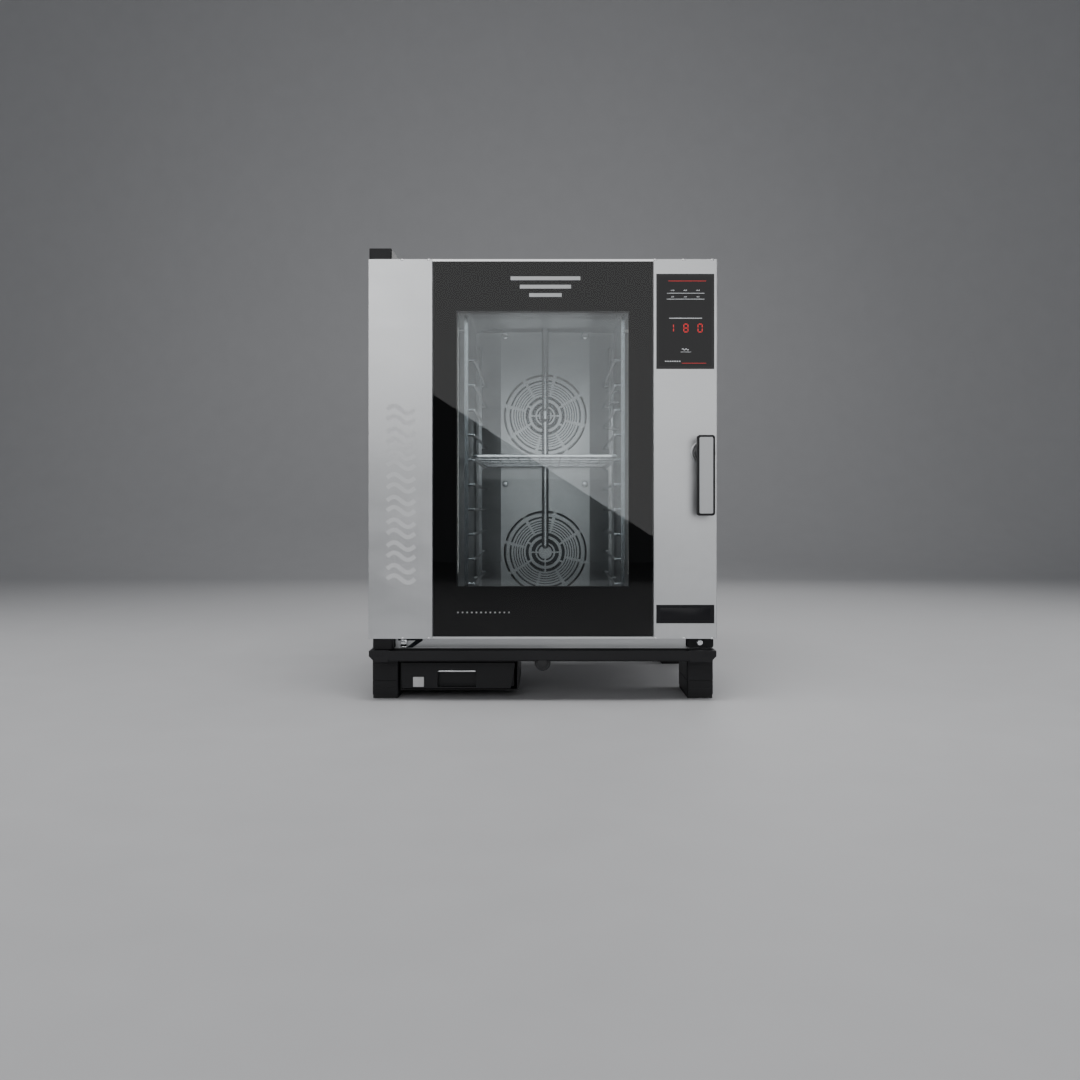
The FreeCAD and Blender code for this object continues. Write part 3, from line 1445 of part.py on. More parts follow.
def right_door_cover():
    """Folded steel cover on the handle side, with openings for display, plate and spindle."""
    part = body("right_door_cover")
    wide = half - glass_right
    points = [(0, 0), (wide, 0), (wide, door_back), (wide - skin, door_back), (wide - skin, skin),
              (skin, skin), (skin, lip), (0, lip)]
    add_outline(part, "xy", (glass_right, depth(0), door_low), points, door_high)
    front = float(depth(0)) + 0.1
    round_off(part, "z", fold_round, lambda point: point.y < front)
    for high in (display_z, port_z):
        cut_block(part, "xz", display_x, span(0, skin), high)
    cut_disc(part, "xz", (handle_x, depth(0), handle_z), skin, spindle_radius + 1)


def glass_trims():
    """Bright strips above and below the outer glass."""
    trims = []
    for high in ((glass_top, door_top), (door_low, glass_low)):
        trims.append(box((-glass_left, glass_right), span(0.4, lip), high))
    node(group(trims), "glass_trims")


def insert_plate(label, high, depth_behind):
    """Black plate in an opening of the right cover, with a flanged box behind it."""
    part = body(label)
    add_block(part, "xz", grow(display_x, -slip_gap), span(-0.4, skin), grow(high, -slip_gap))
    round_off(part, "y", 2)
    add_block(part, "xz", grow(display_x, 3.5), span(skin, skin + depth_behind), grow(high, 3.5))


def pivot_blocks():
    """Steel blocks in the door's hinge corners, bored for the bushes."""
    blocks = []
    block_side = 16.5
    block_deep = (18, 22)
    wide = (-inner_half, hinge_x + block_side)
    deep = span(hinge_deep - block_deep[0], hinge_deep + block_deep[1])
    for low in (door_low + skin, door_top - skin - block_high):
        block = box(wide, deep, (low, low + block_high))
        hole = rod("z", (hinge_x, depth(hinge_deep), low), block_high, bush_radius)
        blocks.append(cut(block, [hole]))
    node(group(blocks), "pivot_blocks")


def hinge_bushes():
    """Plain bushes that turn on the hinge pins."""
    bushes = []
    for low in (door_low, door_top - bush_long):
        sleeve = rod("z", (hinge_x, depth(hinge_deep), low), bush_long, bush_radius)
        hole = rod("z", (hinge_x, depth(hinge_deep), low), bush_long, pin_radius + run_gap)
        bushes.append(cut(sleeve, [hole]))
    node(group(bushes), "hinge_bushes")


def handle_bearing():
    """Sleeve across the door that the handle's spindle turns in."""
    start = (handle_x, depth(skin), handle_z)
    sleeve = rod("y", start, door_back - skin, bearing_radius)
    hole = rod("y", start, door_back - skin, spindle_radius + run_gap)
    node(cut(sleeve, [hole]), "handle_bearing")


# ---------------------------------------------------------------- handle and latch

def handle():
    """Turning handle: black bar with a round boss, steel insert, spindle and latch tongue."""
    rim = 4.5
    recess = 1
    insert_proud = 0.5
    boss_gap = 1
    cam_wide = 12
    cam_hub = spindle_radius + 6
    bar_front = insert_proud - handle_proud
    bar_rear = handle_thick - handle_proud
    high = (handle_z + handle_over - handle_long, handle_z + handle_over)
    part = body("handle_bar")
    add_block(part, "xz", about(handle_x, handle_wide), span(bar_front, bar_rear), high)
    round_off(part, "y", 6)
    face = [f"Face{number}" for number, side in enumerate(part.Shape.Faces, 1)
            if side.normalAt(0, 0).y < -0.9]
    soft = part.newObject("PartDesign::Fillet", "soft_rim")
    soft.Base = (soft.BaseFeature, face)
    soft.Radius = 2.5
    doc.recompute()
    insert_wide = handle_wide - 2 * rim
    cut_block(part, "xz", about(handle_x, insert_wide), span(bar_front, bar_front + recess), grow(high, -rim))
    add_disc(part, "xz", (handle_x, depth(-boss_gap), handle_z), -boss_gap - bar_rear, boss_radius)
    cut_disc(part, "xz", (handle_x, depth(bar_rear), handle_z), -boss_gap - bar_rear, spindle_radius)
    insert = body("handle_insert")
    add_block(insert, "xz", about(handle_x, insert_wide - 2 * slip_gap),
              span(-handle_proud, bar_front + recess), grow(high, -rim - slip_gap))
    round_off(insert, "y", 3)
    node(rod("y", (handle_x, depth(bar_rear), handle_z), frame_deep - 2 - bar_rear, spindle_radius),
         "handle_spindle")
    cam_deep = span(door_thick + 0.8, frame_deep - 2.2)
    hub = rod("y", (handle_x, cam_deep[0], handle_z), extent(cam_deep), cam_hub)
    arm = box((handle_x - cam_reach, handle_x), cam_deep, about(handle_z, cam_wide))
    tongue = box((handle_x - cam_reach, handle_x - cam_reach + tongue_wide),
                 (cam_deep[0], depth(frame_deep + 8)), about(handle_z, tongue_wide))
    hole = rod("y", (handle_x, cam_deep[0], handle_z), extent(cam_deep), spindle_radius)
    node(cut(fuse([hub, arm, tongue]), [hole]), "latch_cam")


# ---------------------------------------------------------------- detergent drawer

def drawer():
    """Detergent drawer: front with a recessed grip and its lip, and an open tub."""
    left = drawer_x[0]
    low = drawer_low
    wide = drawer_wide
    slant = 2
    front = body("drawer_front")
    deep = span(apron_front, apron_front + drawer_face)
    points = [(slant, 0), (wide - 5 * slant, 0), (wide, drawer_high), (0, drawer_high)]
    add_outline(front, "xz", (left, deep[1], low), points, drawer_face)
    round_off(front, "y", 3, lambda point: point.z > 0)
    grip_x = (left + 80, left + 164)
    grip_top = low + 39
    grip_wall = 5
    cut_block(front, "xz", grip_x, (deep[0], deep[1] - grip_wall), (low + 3, grip_top))
    add_block(front, "xz", grip_x, (deep[0] + 1, deep[0] + 8), (grip_top - 3, grip_top))
    tub = body("drawer_tub")
    tub_deep = span(apron_front + drawer_face, apron_front + drawer_face + drawer_deep)
    high = (low + 2, low + drawer_high - 4)
    add_block(tub, "xy", tub_x, tub_deep, high)
    cut_block(tub, "xy", grow(tub_x, -drawer_wall), grow(tub_deep, -drawer_wall),
              (high[0] + drawer_wall, high[1]))


# ---------------------------------------------------------------- make everything

base_pan()
front_frame()
cavity_liner()
insulation_jacket()
side_panel("left_side_panel", -1)
side_panel("right_side_panel", 1)
top_cover()
rear_panel()
lower_apron()
leg_pair("front_legs", leg_inset)
leg_pair("rear_legs", leg_rear)
rubber_pads()
drip_gutter()
gutter_end_caps()
drawer_housing()
upper_hinge()
lower_hinge()
hinge_pins()
door_stop_arm()
corner_plate()
door_gasket()
latch_keeper()
rack("rack_left", -1)
rack("rack_right", 1)
fan_guard()
ring_heaters()
steam_pipe()
wire_shelf()
fan_motors()
impeller("lower_impeller", fan_low)
impeller("upper_impeller", fan_high)
cooling_fan()
drain_pipe()
water_valve()
exhaust_chimney()
control_electronics()
cable_gland()
casing_screws()
door_frame()
panes()
door_inner_panel()
left_door_cover()
right_door_cover()
glass_trims()
insert_plate("display_panel", display_z, 18)
insert_plate("port_plate", port_z, 10)
pivot_blocks()
hinge_bushes()
handle_bearing()
handle()
drawer()
doc.recompute()


# ---------------------------------------------------------------- check and write

for thing in doc.Objects:
    if "Invalid" in thing.State or "Error" in thing.State:
        raise ValueError(f"{thing.Label} failed: {thing.State}")
for thing in nodes:
    if thing.Shape.isNull() or not thing.Shape.isValid() or not thing.Shape.Solids:
        raise ValueError(f"{thing.Label} has no valid shape")
os.makedirs("parts", exist_ok=True)
for thing in nodes:
    thing.Shape.exportStep(f"parts/{thing.Label}.step")
print(len(nodes), "sub-parts written")
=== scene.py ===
# %% [markdown]
# # A combi steamer oven in cells
# The oven is a steel box on four black legs, closed by one wide door of glass and folded steel.
# The exact solids come from the design, so this file only adds two things: surfaces that look like
# the real finishes, and the small parts that are quicker to shape here than in a design program.

# %% Load the design
import math

import bmesh
import bpy
from mathutils import Matrix, Vector


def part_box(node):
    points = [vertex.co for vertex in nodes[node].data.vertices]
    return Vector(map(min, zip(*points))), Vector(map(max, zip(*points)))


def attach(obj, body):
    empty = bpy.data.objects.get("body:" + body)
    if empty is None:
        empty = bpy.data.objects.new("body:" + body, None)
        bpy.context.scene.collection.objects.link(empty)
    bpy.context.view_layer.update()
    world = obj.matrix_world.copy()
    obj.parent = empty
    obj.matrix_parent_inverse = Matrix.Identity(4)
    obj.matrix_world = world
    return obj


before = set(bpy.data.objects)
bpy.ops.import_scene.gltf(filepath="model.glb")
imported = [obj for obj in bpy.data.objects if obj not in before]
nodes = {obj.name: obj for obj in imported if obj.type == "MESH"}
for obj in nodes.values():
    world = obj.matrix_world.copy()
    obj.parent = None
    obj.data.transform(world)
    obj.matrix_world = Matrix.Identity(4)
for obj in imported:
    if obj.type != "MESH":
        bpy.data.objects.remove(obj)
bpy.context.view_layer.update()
print("nodes:", len(nodes))

# %% [markdown]
# Small parts are placed from the boxes of the solids. A helper gives the two ends of a box, so that a
# print or a screw follows its panel when the design changes.

# %% Places taken from the solids


def ends(node):
    """Return the lowest and highest corner of a node."""
    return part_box(node)


MM = 0.001
glass_low, glass_high = ends("outer_glass")
door_low, door_high = ends("door_inner_panel")
left_low, _ = ends("left_door_cover")
liner_low, liner_high = ends("cavity_liner")
panel_low, panel_high = ends("display_panel")
door_face = left_low.y
middle_x = (liner_low.x + liner_high.x) / 2
inner_pane_low, inner_pane_high = ends("inner_glass")
window_low = inner_pane_low + Vector((17, 0, 17)) * MM
window_high = inner_pane_high - Vector((17, 0, 17)) * MM
print("door face at y =", round(door_face, 4), " window", window_low.x, window_high.x)

# %% [markdown]
# ## The camera
# The oven is seen straight on from a little below its middle. A level camera with a small shift keeps
# the upright edges upright, which tilting the camera wouldn't.

# %% Camera
VIEW_DISTANCE = 2.4
camera_data = bpy.data.cameras.new("front_camera")
camera_data.lens = 37.17
camera_data.sensor_width = 36.0
camera_data.shift_x = -0.00741
camera_data.shift_y = -0.02593
camera = bpy.data.objects.new("front_camera", camera_data)
bpy.context.scene.collection.objects.link(camera)
camera.location = (0.0115, door_face - VIEW_DISTANCE, 0.4078)
camera.rotation_euler = (math.radians(90), 0, 0)
bpy.context.scene.camera = camera
print("camera at", tuple(round(value, 3) for value in camera.location))

# %% [markdown]
# ## The floor and the light
# A pale floor that curves up into a wall gives satin steel something plain to mirror. The lamps are
# large and soft. One of them stands behind the camera with its edge on a slant, because the real
# glass shows such an edge where a lit wall is mirrored in its upper right part.

# %% Floor and backdrop


def link(thing):
    """Put an object in the scene."""
    bpy.context.scene.collection.objects.link(thing)
    return thing


def mesh_object(name, shape):
    """Turn a finished bmesh into an object."""
    data = bpy.data.meshes.new(name)
    shape.to_mesh(data)
    shape.free()
    return link(bpy.data.objects.new(name, data))


FLOOR_WIDE = 16.0
FLOOR_FRONT = -7.0
FLOOR_REAR = 4.0
CURVE_RADIUS = 1.6
WALL_HIGH = 4.5
sweep = bmesh.new()
front_edge = [sweep.verts.new((x, FLOOR_FRONT, 0)) for x in (-FLOOR_WIDE / 2, FLOOR_WIDE / 2)]
edge = sweep.edges.new(front_edge)
moved = bmesh.ops.extrude_edge_only(sweep, edges=[edge])
rear_verts = [item for item in moved["geom"] if isinstance(item, bmesh.types.BMVert)]
bmesh.ops.translate(sweep, verts=rear_verts, vec=(0, FLOOR_REAR - FLOOR_FRONT, 0))
rear_edge = [item for item in moved["geom"] if isinstance(item, bmesh.types.BMEdge)]
turned = bmesh.ops.spin(sweep, geom=rear_edge + rear_verts, cent=(0, FLOOR_REAR, CURVE_RADIUS),
                        axis=(1, 0, 0), angle=math.radians(90), steps=16, use_duplicate=False)
top = turned["geom_last"]
top_edges = [item for item in top if isinstance(item, bmesh.types.BMEdge)]
raised = bmesh.ops.extrude_edge_only(sweep, edges=top_edges)
bmesh.ops.translate(sweep, verts=[item for item in raised["geom"] if isinstance(item, bmesh.types.BMVert)],
                    vec=(0, 0, WALL_HIGH))
bmesh.ops.recalc_face_normals(sweep, faces=sweep.faces)
studio_floor = mesh_object("studio_floor", sweep)
for polygon in studio_floor.data.polygons:
    polygon.use_smooth = True
print("floor faces:", len(studio_floor.data.polygons))

# %% Lamps


def soft_lamp(name, place, target, wide, high, watts, roll=0.0, colour=(1, 1, 1)):
    """Add a large rectangular lamp that points at a target."""
    lamp_data = bpy.data.lights.new(name, "AREA")
    lamp_data.shape = "RECTANGLE"
    lamp_data.size = wide
    lamp_data.size_y = high
    lamp_data.energy = watts
    lamp_data.color = colour
    lamp = link(bpy.data.objects.new(name, lamp_data))
    lamp.location = place
    aim = (Vector(target) - Vector(place)).to_track_quat("-Z", "Y").to_matrix().to_4x4()
    lamp.rotation_euler = (aim @ Matrix.Rotation(roll, 4, "Z")).to_euler()
    return lamp


oven_middle = (0, 0, 0.55)
soft_lamp("key_above", (0.0, -1.2, 3.2), (0, -0.1, 0.5), 1.8, 1.2, 60)
soft_lamp("front_wall", (-0.26, -4.6, 2.15), (-0.26, 0, 2.15), 5.2, 2.2, 46, roll=math.radians(-32.9))
soft_lamp("front_left", (-1.35, -4.5, 1.55), (-0.3, 0, 0.8), 1.0, 1.3, 9)
soft_lamp("left_side", (-3.2, -0.4, 1.6), oven_middle, 1.6, 2.2, 35)
soft_lamp("right_side", (3.2, 0.2, 1.6), oven_middle, 1.6, 2.2, 35)
soft_lamp("rear_fill", (0.6, 3.2, 2.4), (0, 0.4, 0.6), 2.4, 1.6, 30)

world = bpy.data.worlds.new("studio")
bpy.context.scene.world = world
world.use_nodes = True
world.node_tree.nodes["Background"].inputs["Color"].default_value = (0.52, 0.54, 0.57, 1)
world.node_tree.nodes["Background"].inputs["Strength"].default_value = 0.27

# %% [markdown]
# ## Shared effects
# Brushed grain, wiping marks and moulded skin each appear in more than one finish. Each of them is a
# node group, so that a finish only says how strong and how fine it is. The groups read Object
# coordinates, which stay with the part when the door swings.

# %% Node helpers


def add_node(tree, kind, **settings):
    """Add a shader node and set its properties and its input values by name."""
    made = tree.nodes.new(kind)
    for key, value in settings.items():
        if hasattr(made, key):
            setattr(made, key, value)
        else:
            made.inputs[key.replace("_", " ")].default_value = value
    return made


def wire(tree, source, target):
    """Join an output to an input."""
    tree.links.new(source, target)


def new_group(name, inputs, outputs):
    """Start a node group from lists of (socket name, socket type, default)."""
    tree = bpy.data.node_groups.new(name, "ShaderNodeTree")
    for label, kind, default in inputs:
        socket = tree.interface.new_socket(name=label, in_out="INPUT", socket_type=kind)
        socket.default_value = default
    for label, kind in outputs:
        tree.interface.new_socket(name=label, in_out="OUTPUT", socket_type=kind)
    return tree, tree.nodes.new("NodeGroupInput"), tree.nodes.new("NodeGroupOutput")


# %% Brushed grain


def brushed_grain():
    """Build the group for fine parallel lines; Stretch sets how often they change along each axis."""
    tree, given, result = new_group(
        "brushed_grain",
        [("Stretch", "NodeSocketVector", (900, 900, 14)), ("Height", "NodeSocketFloat", 0.1)],
        [("Grain", "NodeSocketFloat"), ("Normal", "NodeSocketVector")])
    place = add_node(tree, "ShaderNodeTexCoord")
    scaled = add_node(tree, "ShaderNodeVectorMath", operation="MULTIPLY")
    lines = add_node(tree, "ShaderNodeTexNoise", Scale=1.0, Detail=4.0, Roughness=0.65)
    bump = add_node(tree, "ShaderNodeBump", Distance=0.0002)
    wire(tree, place.outputs["Object"], scaled.inputs[0])
    wire(tree, given.outputs["Stretch"], scaled.inputs[1])
    wire(tree, scaled.outputs["Vector"], lines.inputs["Vector"])
    wire(tree, lines.outputs["Fac"], bump.inputs["Height"])
    wire(tree, given.outputs["Height"], bump.inputs["Strength"])
    wire(tree, lines.outputs["Fac"], result.inputs["Grain"])
    wire(tree, bump.outputs["Normal"], result.inputs["Normal"])
    return tree


GRAIN = brushed_grain()
print("group:", GRAIN.name)

# %% Wiping marks


def wiping_marks():
    """Build the group for the faint cloudy streaks that a cloth leaves on steel and glass."""
    tree, given, result = new_group(
        "wiping_marks",
        [("Size", "NodeSocketVector", (5, 5, 9)), ("Contrast", "NodeSocketFloat", 0.5)],
        [("Marks", "NodeSocketFloat")])
    place = add_node(tree, "ShaderNodeTexCoord")
    scaled = add_node(tree, "ShaderNodeVectorMath", operation="MULTIPLY")
    cloud = add_node(tree, "ShaderNodeTexNoise", Scale=1.0, Detail=5.0, Roughness=0.55, Distortion=1.1)
    spread = add_node(tree, "ShaderNodeMapRange", From_Min=0.35, From_Max=0.68, To_Min=0.0)
    wire(tree, place.outputs["Object"], scaled.inputs[0])
    wire(tree, given.outputs["Size"], scaled.inputs[1])
    wire(tree, scaled.outputs["Vector"], cloud.inputs["Vector"])
    wire(tree, cloud.outputs["Fac"], spread.inputs["Value"])
    wire(tree, given.outputs["Contrast"], spread.inputs["To Max"])
    wire(tree, spread.outputs["Result"], result.inputs["Marks"])
    return tree


MARKS = wiping_marks()
print("group:", MARKS.name)

# %% Moulded skin


def moulded_skin():
    """Build the group for the fine pebbled skin of moulded plastic and rubber."""
    tree, given, result = new_group(
        "moulded_skin",
        [("Grain Size", "NodeSocketFloat", 700.0), ("Height", "NodeSocketFloat", 0.2)],
        [("Skin", "NodeSocketFloat"), ("Normal", "NodeSocketVector")])
    place = add_node(tree, "ShaderNodeTexCoord")
    pebbles = add_node(tree, "ShaderNodeTexVoronoi", feature="SMOOTH_F1", Smoothness=0.6)
    cloud = add_node(tree, "ShaderNodeTexNoise", Scale=9.0, Detail=3.0)
    bump = add_node(tree, "ShaderNodeBump", Distance=0.0003)
    wire(tree, place.outputs["Object"], pebbles.inputs["Vector"])
    wire(tree, place.outputs["Object"], cloud.inputs["Vector"])
    wire(tree, given.outputs["Grain Size"], pebbles.inputs["Scale"])
    wire(tree, pebbles.outputs["Distance"], bump.inputs["Height"])
    wire(tree, given.outputs["Height"], bump.inputs["Strength"])
    wire(tree, cloud.outputs["Fac"], result.inputs["Skin"])
    wire(tree, bump.outputs["Normal"], result.inputs["Normal"])
    return tree


SKIN = moulded_skin()
print("group:", SKIN.name)

# %% [markdown]
# ## Finishes
# Each finish is a Principled shader of its own. The colour and the roughness vary a little with the
# grain and the marks, because a flat value makes steel look like grey paint.

# %% Finish helpers


def start_finish(name):
    """Start a material and return its tree and its Principled shader."""
    material = bpy.data.materials.new(name)
    material.use_nodes = True
    tree = material.node_tree
    return material, tree, tree.nodes["Principled BSDF"]


def use_group(tree, group, **values):
    """Place a shared group and set its inputs by name."""
    placed = tree.nodes.new("ShaderNodeGroup")
    placed.node_tree = group
    for key, value in values.items():
        placed.inputs[key.replace("_", " ")].default_value = value
    return placed


def blend_colour(tree, mask, first, second):
    """Return a colour output that goes from first to second with a mask."""
    mix = add_node(tree, "ShaderNodeMix", data_type="RGBA")
    colours = [socket for socket in mix.inputs if socket.type == "RGBA"]
    colours[0].default_value = (*first, 1)
    colours[1].default_value = (*second, 1)
    wire(tree, mask, mix.inputs["Factor"])
    return [socket for socket in mix.outputs if socket.type == "RGBA"][0]


def vary(tree, mask, low, high):
    """Return a value output that goes from low to high with a mask."""
    spread = add_node(tree, "ShaderNodeMapRange", To_Min=low, To_Max=high)
    wire(tree, mask, spread.inputs["Value"])
    return spread.outputs["Result"]


# %% Steel finishes


def steel(name, dark, light, rough, stretch, height=0.08, marks=0.5):
    """Make a brushed or satin steel: base colour range, roughness range and grain direction."""
    material, tree, shader = start_finish(name)
    grain = use_group(tree, GRAIN, Stretch=stretch, Height=height)
    wiped = use_group(tree, MARKS, Contrast=marks)
    both = add_node(tree, "ShaderNodeMath", operation="MULTIPLY_ADD")
    both.inputs[1].default_value = 0.6
    wire(tree, grain.outputs["Grain"], both.inputs[0])
    wire(tree, wiped.outputs["Marks"], both.inputs[2])
    wire(tree, blend_colour(tree, both.outputs[0], dark, light), shader.inputs["Base Color"])
    wire(tree, vary(tree, both.outputs[0], rough[0], rough[1]), shader.inputs["Roughness"])
    wire(tree, grain.outputs["Normal"], shader.inputs["Normal"])
    shader.inputs["Metallic"].default_value = 1.0
    return material


UPRIGHT = (1100, 1100, 9)
CROSSWISE = (9, 1100, 1100)
ROUND = (500, 500, 500)
satin_steel = steel("satin_steel", (0.56, 0.57, 0.58), (0.66, 0.67, 0.68), (0.28, 0.40), UPRIGHT)
cavity_steel = steel("cavity_steel", (0.46, 0.47, 0.47), (0.58, 0.58, 0.58), (0.26, 0.42), UPRIGHT)
rod_steel = steel("rod_steel", (0.58, 0.59, 0.60), (0.70, 0.71, 0.72), (0.12, 0.26), ROUND, 0.03, 0.3)
bright_trim = steel("bright_trim", (0.72, 0.73, 0.74), (0.84, 0.85, 0.86), (0.10, 0.20), CROSSWISE, 0.03, 0.3)
machined_steel = steel("machined_steel", (0.40, 0.41, 0.42), (0.54, 0.55, 0.56), (0.22, 0.40), ROUND)
pipe_steel = steel("pipe_steel", (0.48, 0.49, 0.50), (0.60, 0.61, 0.62), (0.20, 0.36), ROUND)
inlay_steel = steel("handle_steel", (0.46, 0.47, 0.48), (0.56, 0.57, 0.58), (0.34, 0.46), UPRIGHT)
fan_steel = steel("fan_steel", (0.055, 0.055, 0.055), (0.11, 0.11, 0.11), (0.35, 0.55), ROUND)
heater_steel = steel("heater_steel", (0.10, 0.09, 0.085), (0.24, 0.21, 0.18), (0.35, 0.60), ROUND, 0.2, 0.8)
brass = steel("valve_brass", (0.48, 0.34, 0.13), (0.66, 0.50, 0.22), (0.22, 0.42), ROUND)
bronze = steel("bush_bronze", (0.38, 0.22, 0.09), (0.55, 0.35, 0.15), (0.30, 0.45), ROUND)
print("materials so far:", len(bpy.data.materials))

# %% Plastic, paint and rubber finishes


def moulded(name, dark, light, rough, size=900.0, height=0.15, shine=0.5):
    """Make a moulded or painted surface with a fine skin."""
    material, tree, shader = start_finish(name)
    skin = use_group(tree, SKIN, Grain_Size=size, Height=height)
    wire(tree, blend_colour(tree, skin.outputs["Skin"], dark, light), shader.inputs["Base Color"])
    wire(tree, vary(tree, skin.outputs["Skin"], rough[0], rough[1]), shader.inputs["Roughness"])
    wire(tree, skin.outputs["Normal"], shader.inputs["Normal"])
    shader.inputs["Specular IOR Level"].default_value = shine
    return material


moulded_black = moulded("moulded_black", (0.008, 0.008, 0.009), (0.016, 0.016, 0.018), (0.40, 0.56),
                        shine=0.3)
frame_black = moulded("frame_black", (0.020, 0.024, 0.030), (0.026, 0.030, 0.037), (0.45, 0.55),
                      1500.0, 0.0, 0.05)
display_black = moulded("display_black", (0.006, 0.006, 0.007), (0.013, 0.013, 0.014), (0.08, 0.14),
                        300.0, 0.0, 0.35)
port_black = moulded("port_black", (0.006, 0.006, 0.008), (0.011, 0.011, 0.014), (0.24, 0.34),
                     1200.0, 0.08, 0.25)
seal_rubber = moulded("seal_rubber", (0.012, 0.012, 0.013), (0.026, 0.026, 0.027), (0.55, 0.75), 1200.0, 0.25)
pad_rubber = moulded("pad_rubber", (0.010, 0.010, 0.010), (0.022, 0.022, 0.022), (0.65, 0.85), 800.0, 0.3)
motor_paint = moulded("motor_paint", (0.020, 0.024, 0.030), (0.045, 0.050, 0.060), (0.35, 0.50), 260.0, 0.3)
board_green = moulded("electronics", (0.010, 0.070, 0.035), (0.020, 0.120, 0.060), (0.30, 0.45), 600.0, 0.1)
mineral_wool = moulded("wool", (0.30, 0.24, 0.12), (0.52, 0.45, 0.28), (0.85, 0.98), 220.0, 1.0)
light_print = moulded("light_print", (0.50, 0.51, 0.52), (0.60, 0.61, 0.62), (0.35, 0.45), 1500.0, 0.03)
floor_paint = moulded("floor_paint", (0.50, 0.50, 0.51), (0.54, 0.54, 0.55), (0.55, 0.65), 60.0, 0.0)
studio_floor.data.materials.append(floor_paint)
white_plastic = moulded("white_plastic", (0.62, 0.62, 0.62), (0.72, 0.72, 0.72), (0.35, 0.45), 900.0, 0.1)
print("moulded finishes made")

# %% [markdown]
# Glass is two things here: the panes let the light through, and the black border is the coated frame
# behind the outer pane, as on the real door. A border painted on the pane would need a see-through
# value that changes over the surface, which doesn't survive an export.

# %% Glass and glowing finishes


def pane_glass(name, tint, rough):
    """Make a clear pane with the faint streaks of a wiped surface."""
    material, tree, shader = start_finish(name)
    wiped = use_group(tree, MARKS, Contrast=1.0)
    wire(tree, vary(tree, wiped.outputs["Marks"], rough[0], rough[1]), shader.inputs["Roughness"])
    wire(tree, blend_colour(tree, wiped.outputs["Marks"], tint, [part * 0.97 for part in tint]),
         shader.inputs["Base Color"])
    shader.inputs["Transmission Weight"].default_value = 1.0
    shader.inputs["IOR"].default_value = 1.45
    return material


def glowing(name, colour, strength):
    """Make a lit sign or lamp with a slightly uneven glow."""
    material, tree, shader = start_finish(name)
    skin = use_group(tree, SKIN, Grain_Size=500.0, Height=0.0)
    dim = [part * 0.9 for part in colour]
    glow = blend_colour(tree, skin.outputs["Skin"], dim, colour)
    wire(tree, glow, shader.inputs["Base Color"])
    wire(tree, glow, shader.inputs["Emission Color"])
    shader.inputs["Emission Strength"].default_value = strength
    return material


outer_pane = pane_glass("outer_glass", (0.72, 0.75, 0.77), (0.0, 0.012))
clear_pane = pane_glass("clear_glass", (0.93, 0.95, 0.95), (0.0, 0.01))
red_glow = glowing("red_glow", (0.75, 0.03, 0.03), 0.6)
white_glow = glowing("white_glow", (0.70, 0.72, 0.74), 0.25)
lamp_glow = glowing("lamp_glow", (1.0, 0.96, 0.90), 2.0)
screen_glass = moulded("screen_glass", (0.004, 0.004, 0.005), (0.009, 0.009, 0.010), (0.06, 0.12),
                       300.0, 0.0, 0.32)
pale_print = moulded("pale_print", (0.62, 0.63, 0.64), (0.74, 0.75, 0.76), (0.40, 0.50), 1500.0, 0.03)
print("glass and glow made")

# %% [markdown]
# ## Dress the solids
# One table says which solids take which finish. A solid keeps its exact mesh.

# %% Assign finishes
FINISHES = {
    satin_steel: ("left_door_cover right_door_cover left_side_panel right_side_panel top_cover rear_panel "
                  "lower_apron front_frame door_inner_panel base_pan"),
    cavity_steel: "cavity_liner fan_guard",
    rod_steel: "rack_left rack_right wire_shelf steam_pipe",
    bright_trim: "glass_trims",
    machined_steel: ("upper_hinge_bracket lower_hinge_bracket hinge_pins pivot_blocks handle_spindle "
                     "latch_cam latch_keeper casing_screws"),
    fan_steel: "upper_impeller lower_impeller",
    bronze: "hinge_bushes handle_bearing",
    pipe_steel: "drain_pipe exhaust_chimney",
    brass: "water_valve",
    heater_steel: "ring_heaters",
    motor_paint: "fan_motors",
    mineral_wool: "insulation_jacket",
    board_green: "control_electronics",
    outer_pane: "outer_glass",
    clear_pane: "middle_glass inner_glass",
    frame_black: "door_frame door_stop_arm",
    display_black: "display_panel",
    port_black: "port_plate",
    moulded_black: ("upper_hinge_cover lower_hinge_cover corner_plate drip_gutter gutter_end_caps front_legs "
                    "rear_legs drawer_housing drawer_front drawer_tub handle_bar cooling_fan_frame "
                    "cooling_fan_rotor cable_gland"),
    inlay_steel: "handle_insert",
    seal_rubber: "door_gasket",
    pad_rubber: "rubber_pads",
}
dressed = []
for finish, names in FINISHES.items():
    for name in names.split():
        nodes[name].data.materials.clear()
        nodes[name].data.materials.append(finish)
        dressed.append(name)
print("dressed", len(dressed), "of", len(nodes), "left:", sorted(set(nodes) - set(dressed)))

# %% [markdown]
# ## Tools for the small parts
# The parts that follow are blocks with softened edges, turned shapes, bent rods and thin raised
# prints. A helper makes each kind, always in the oven's own place, so nothing has to be moved later.

# %% Shape helpers


def block(shape, low, high):
    """Add a box between two corners."""
    made = bmesh.ops.create_cube(shape, size=1.0)["verts"]
    bmesh.ops.scale(shape, vec=Vector(high) - Vector(low), verts=made)
    bmesh.ops.translate(shape, vec=(Vector(low) + Vector(high)) / 2, verts=made)
    return made


def soften(shape, amount, segments=2):
    """Round every sharp edge by an amount."""
    sharp = [edge for edge in shape.edges
             if edge.is_manifold and edge.calc_face_angle() > math.radians(30)]
    bmesh.ops.bevel(shape, geom=sharp, offset=amount, segments=segments, profile=0.5,
                    affect="EDGES", clamp_overlap=True, material=-1)


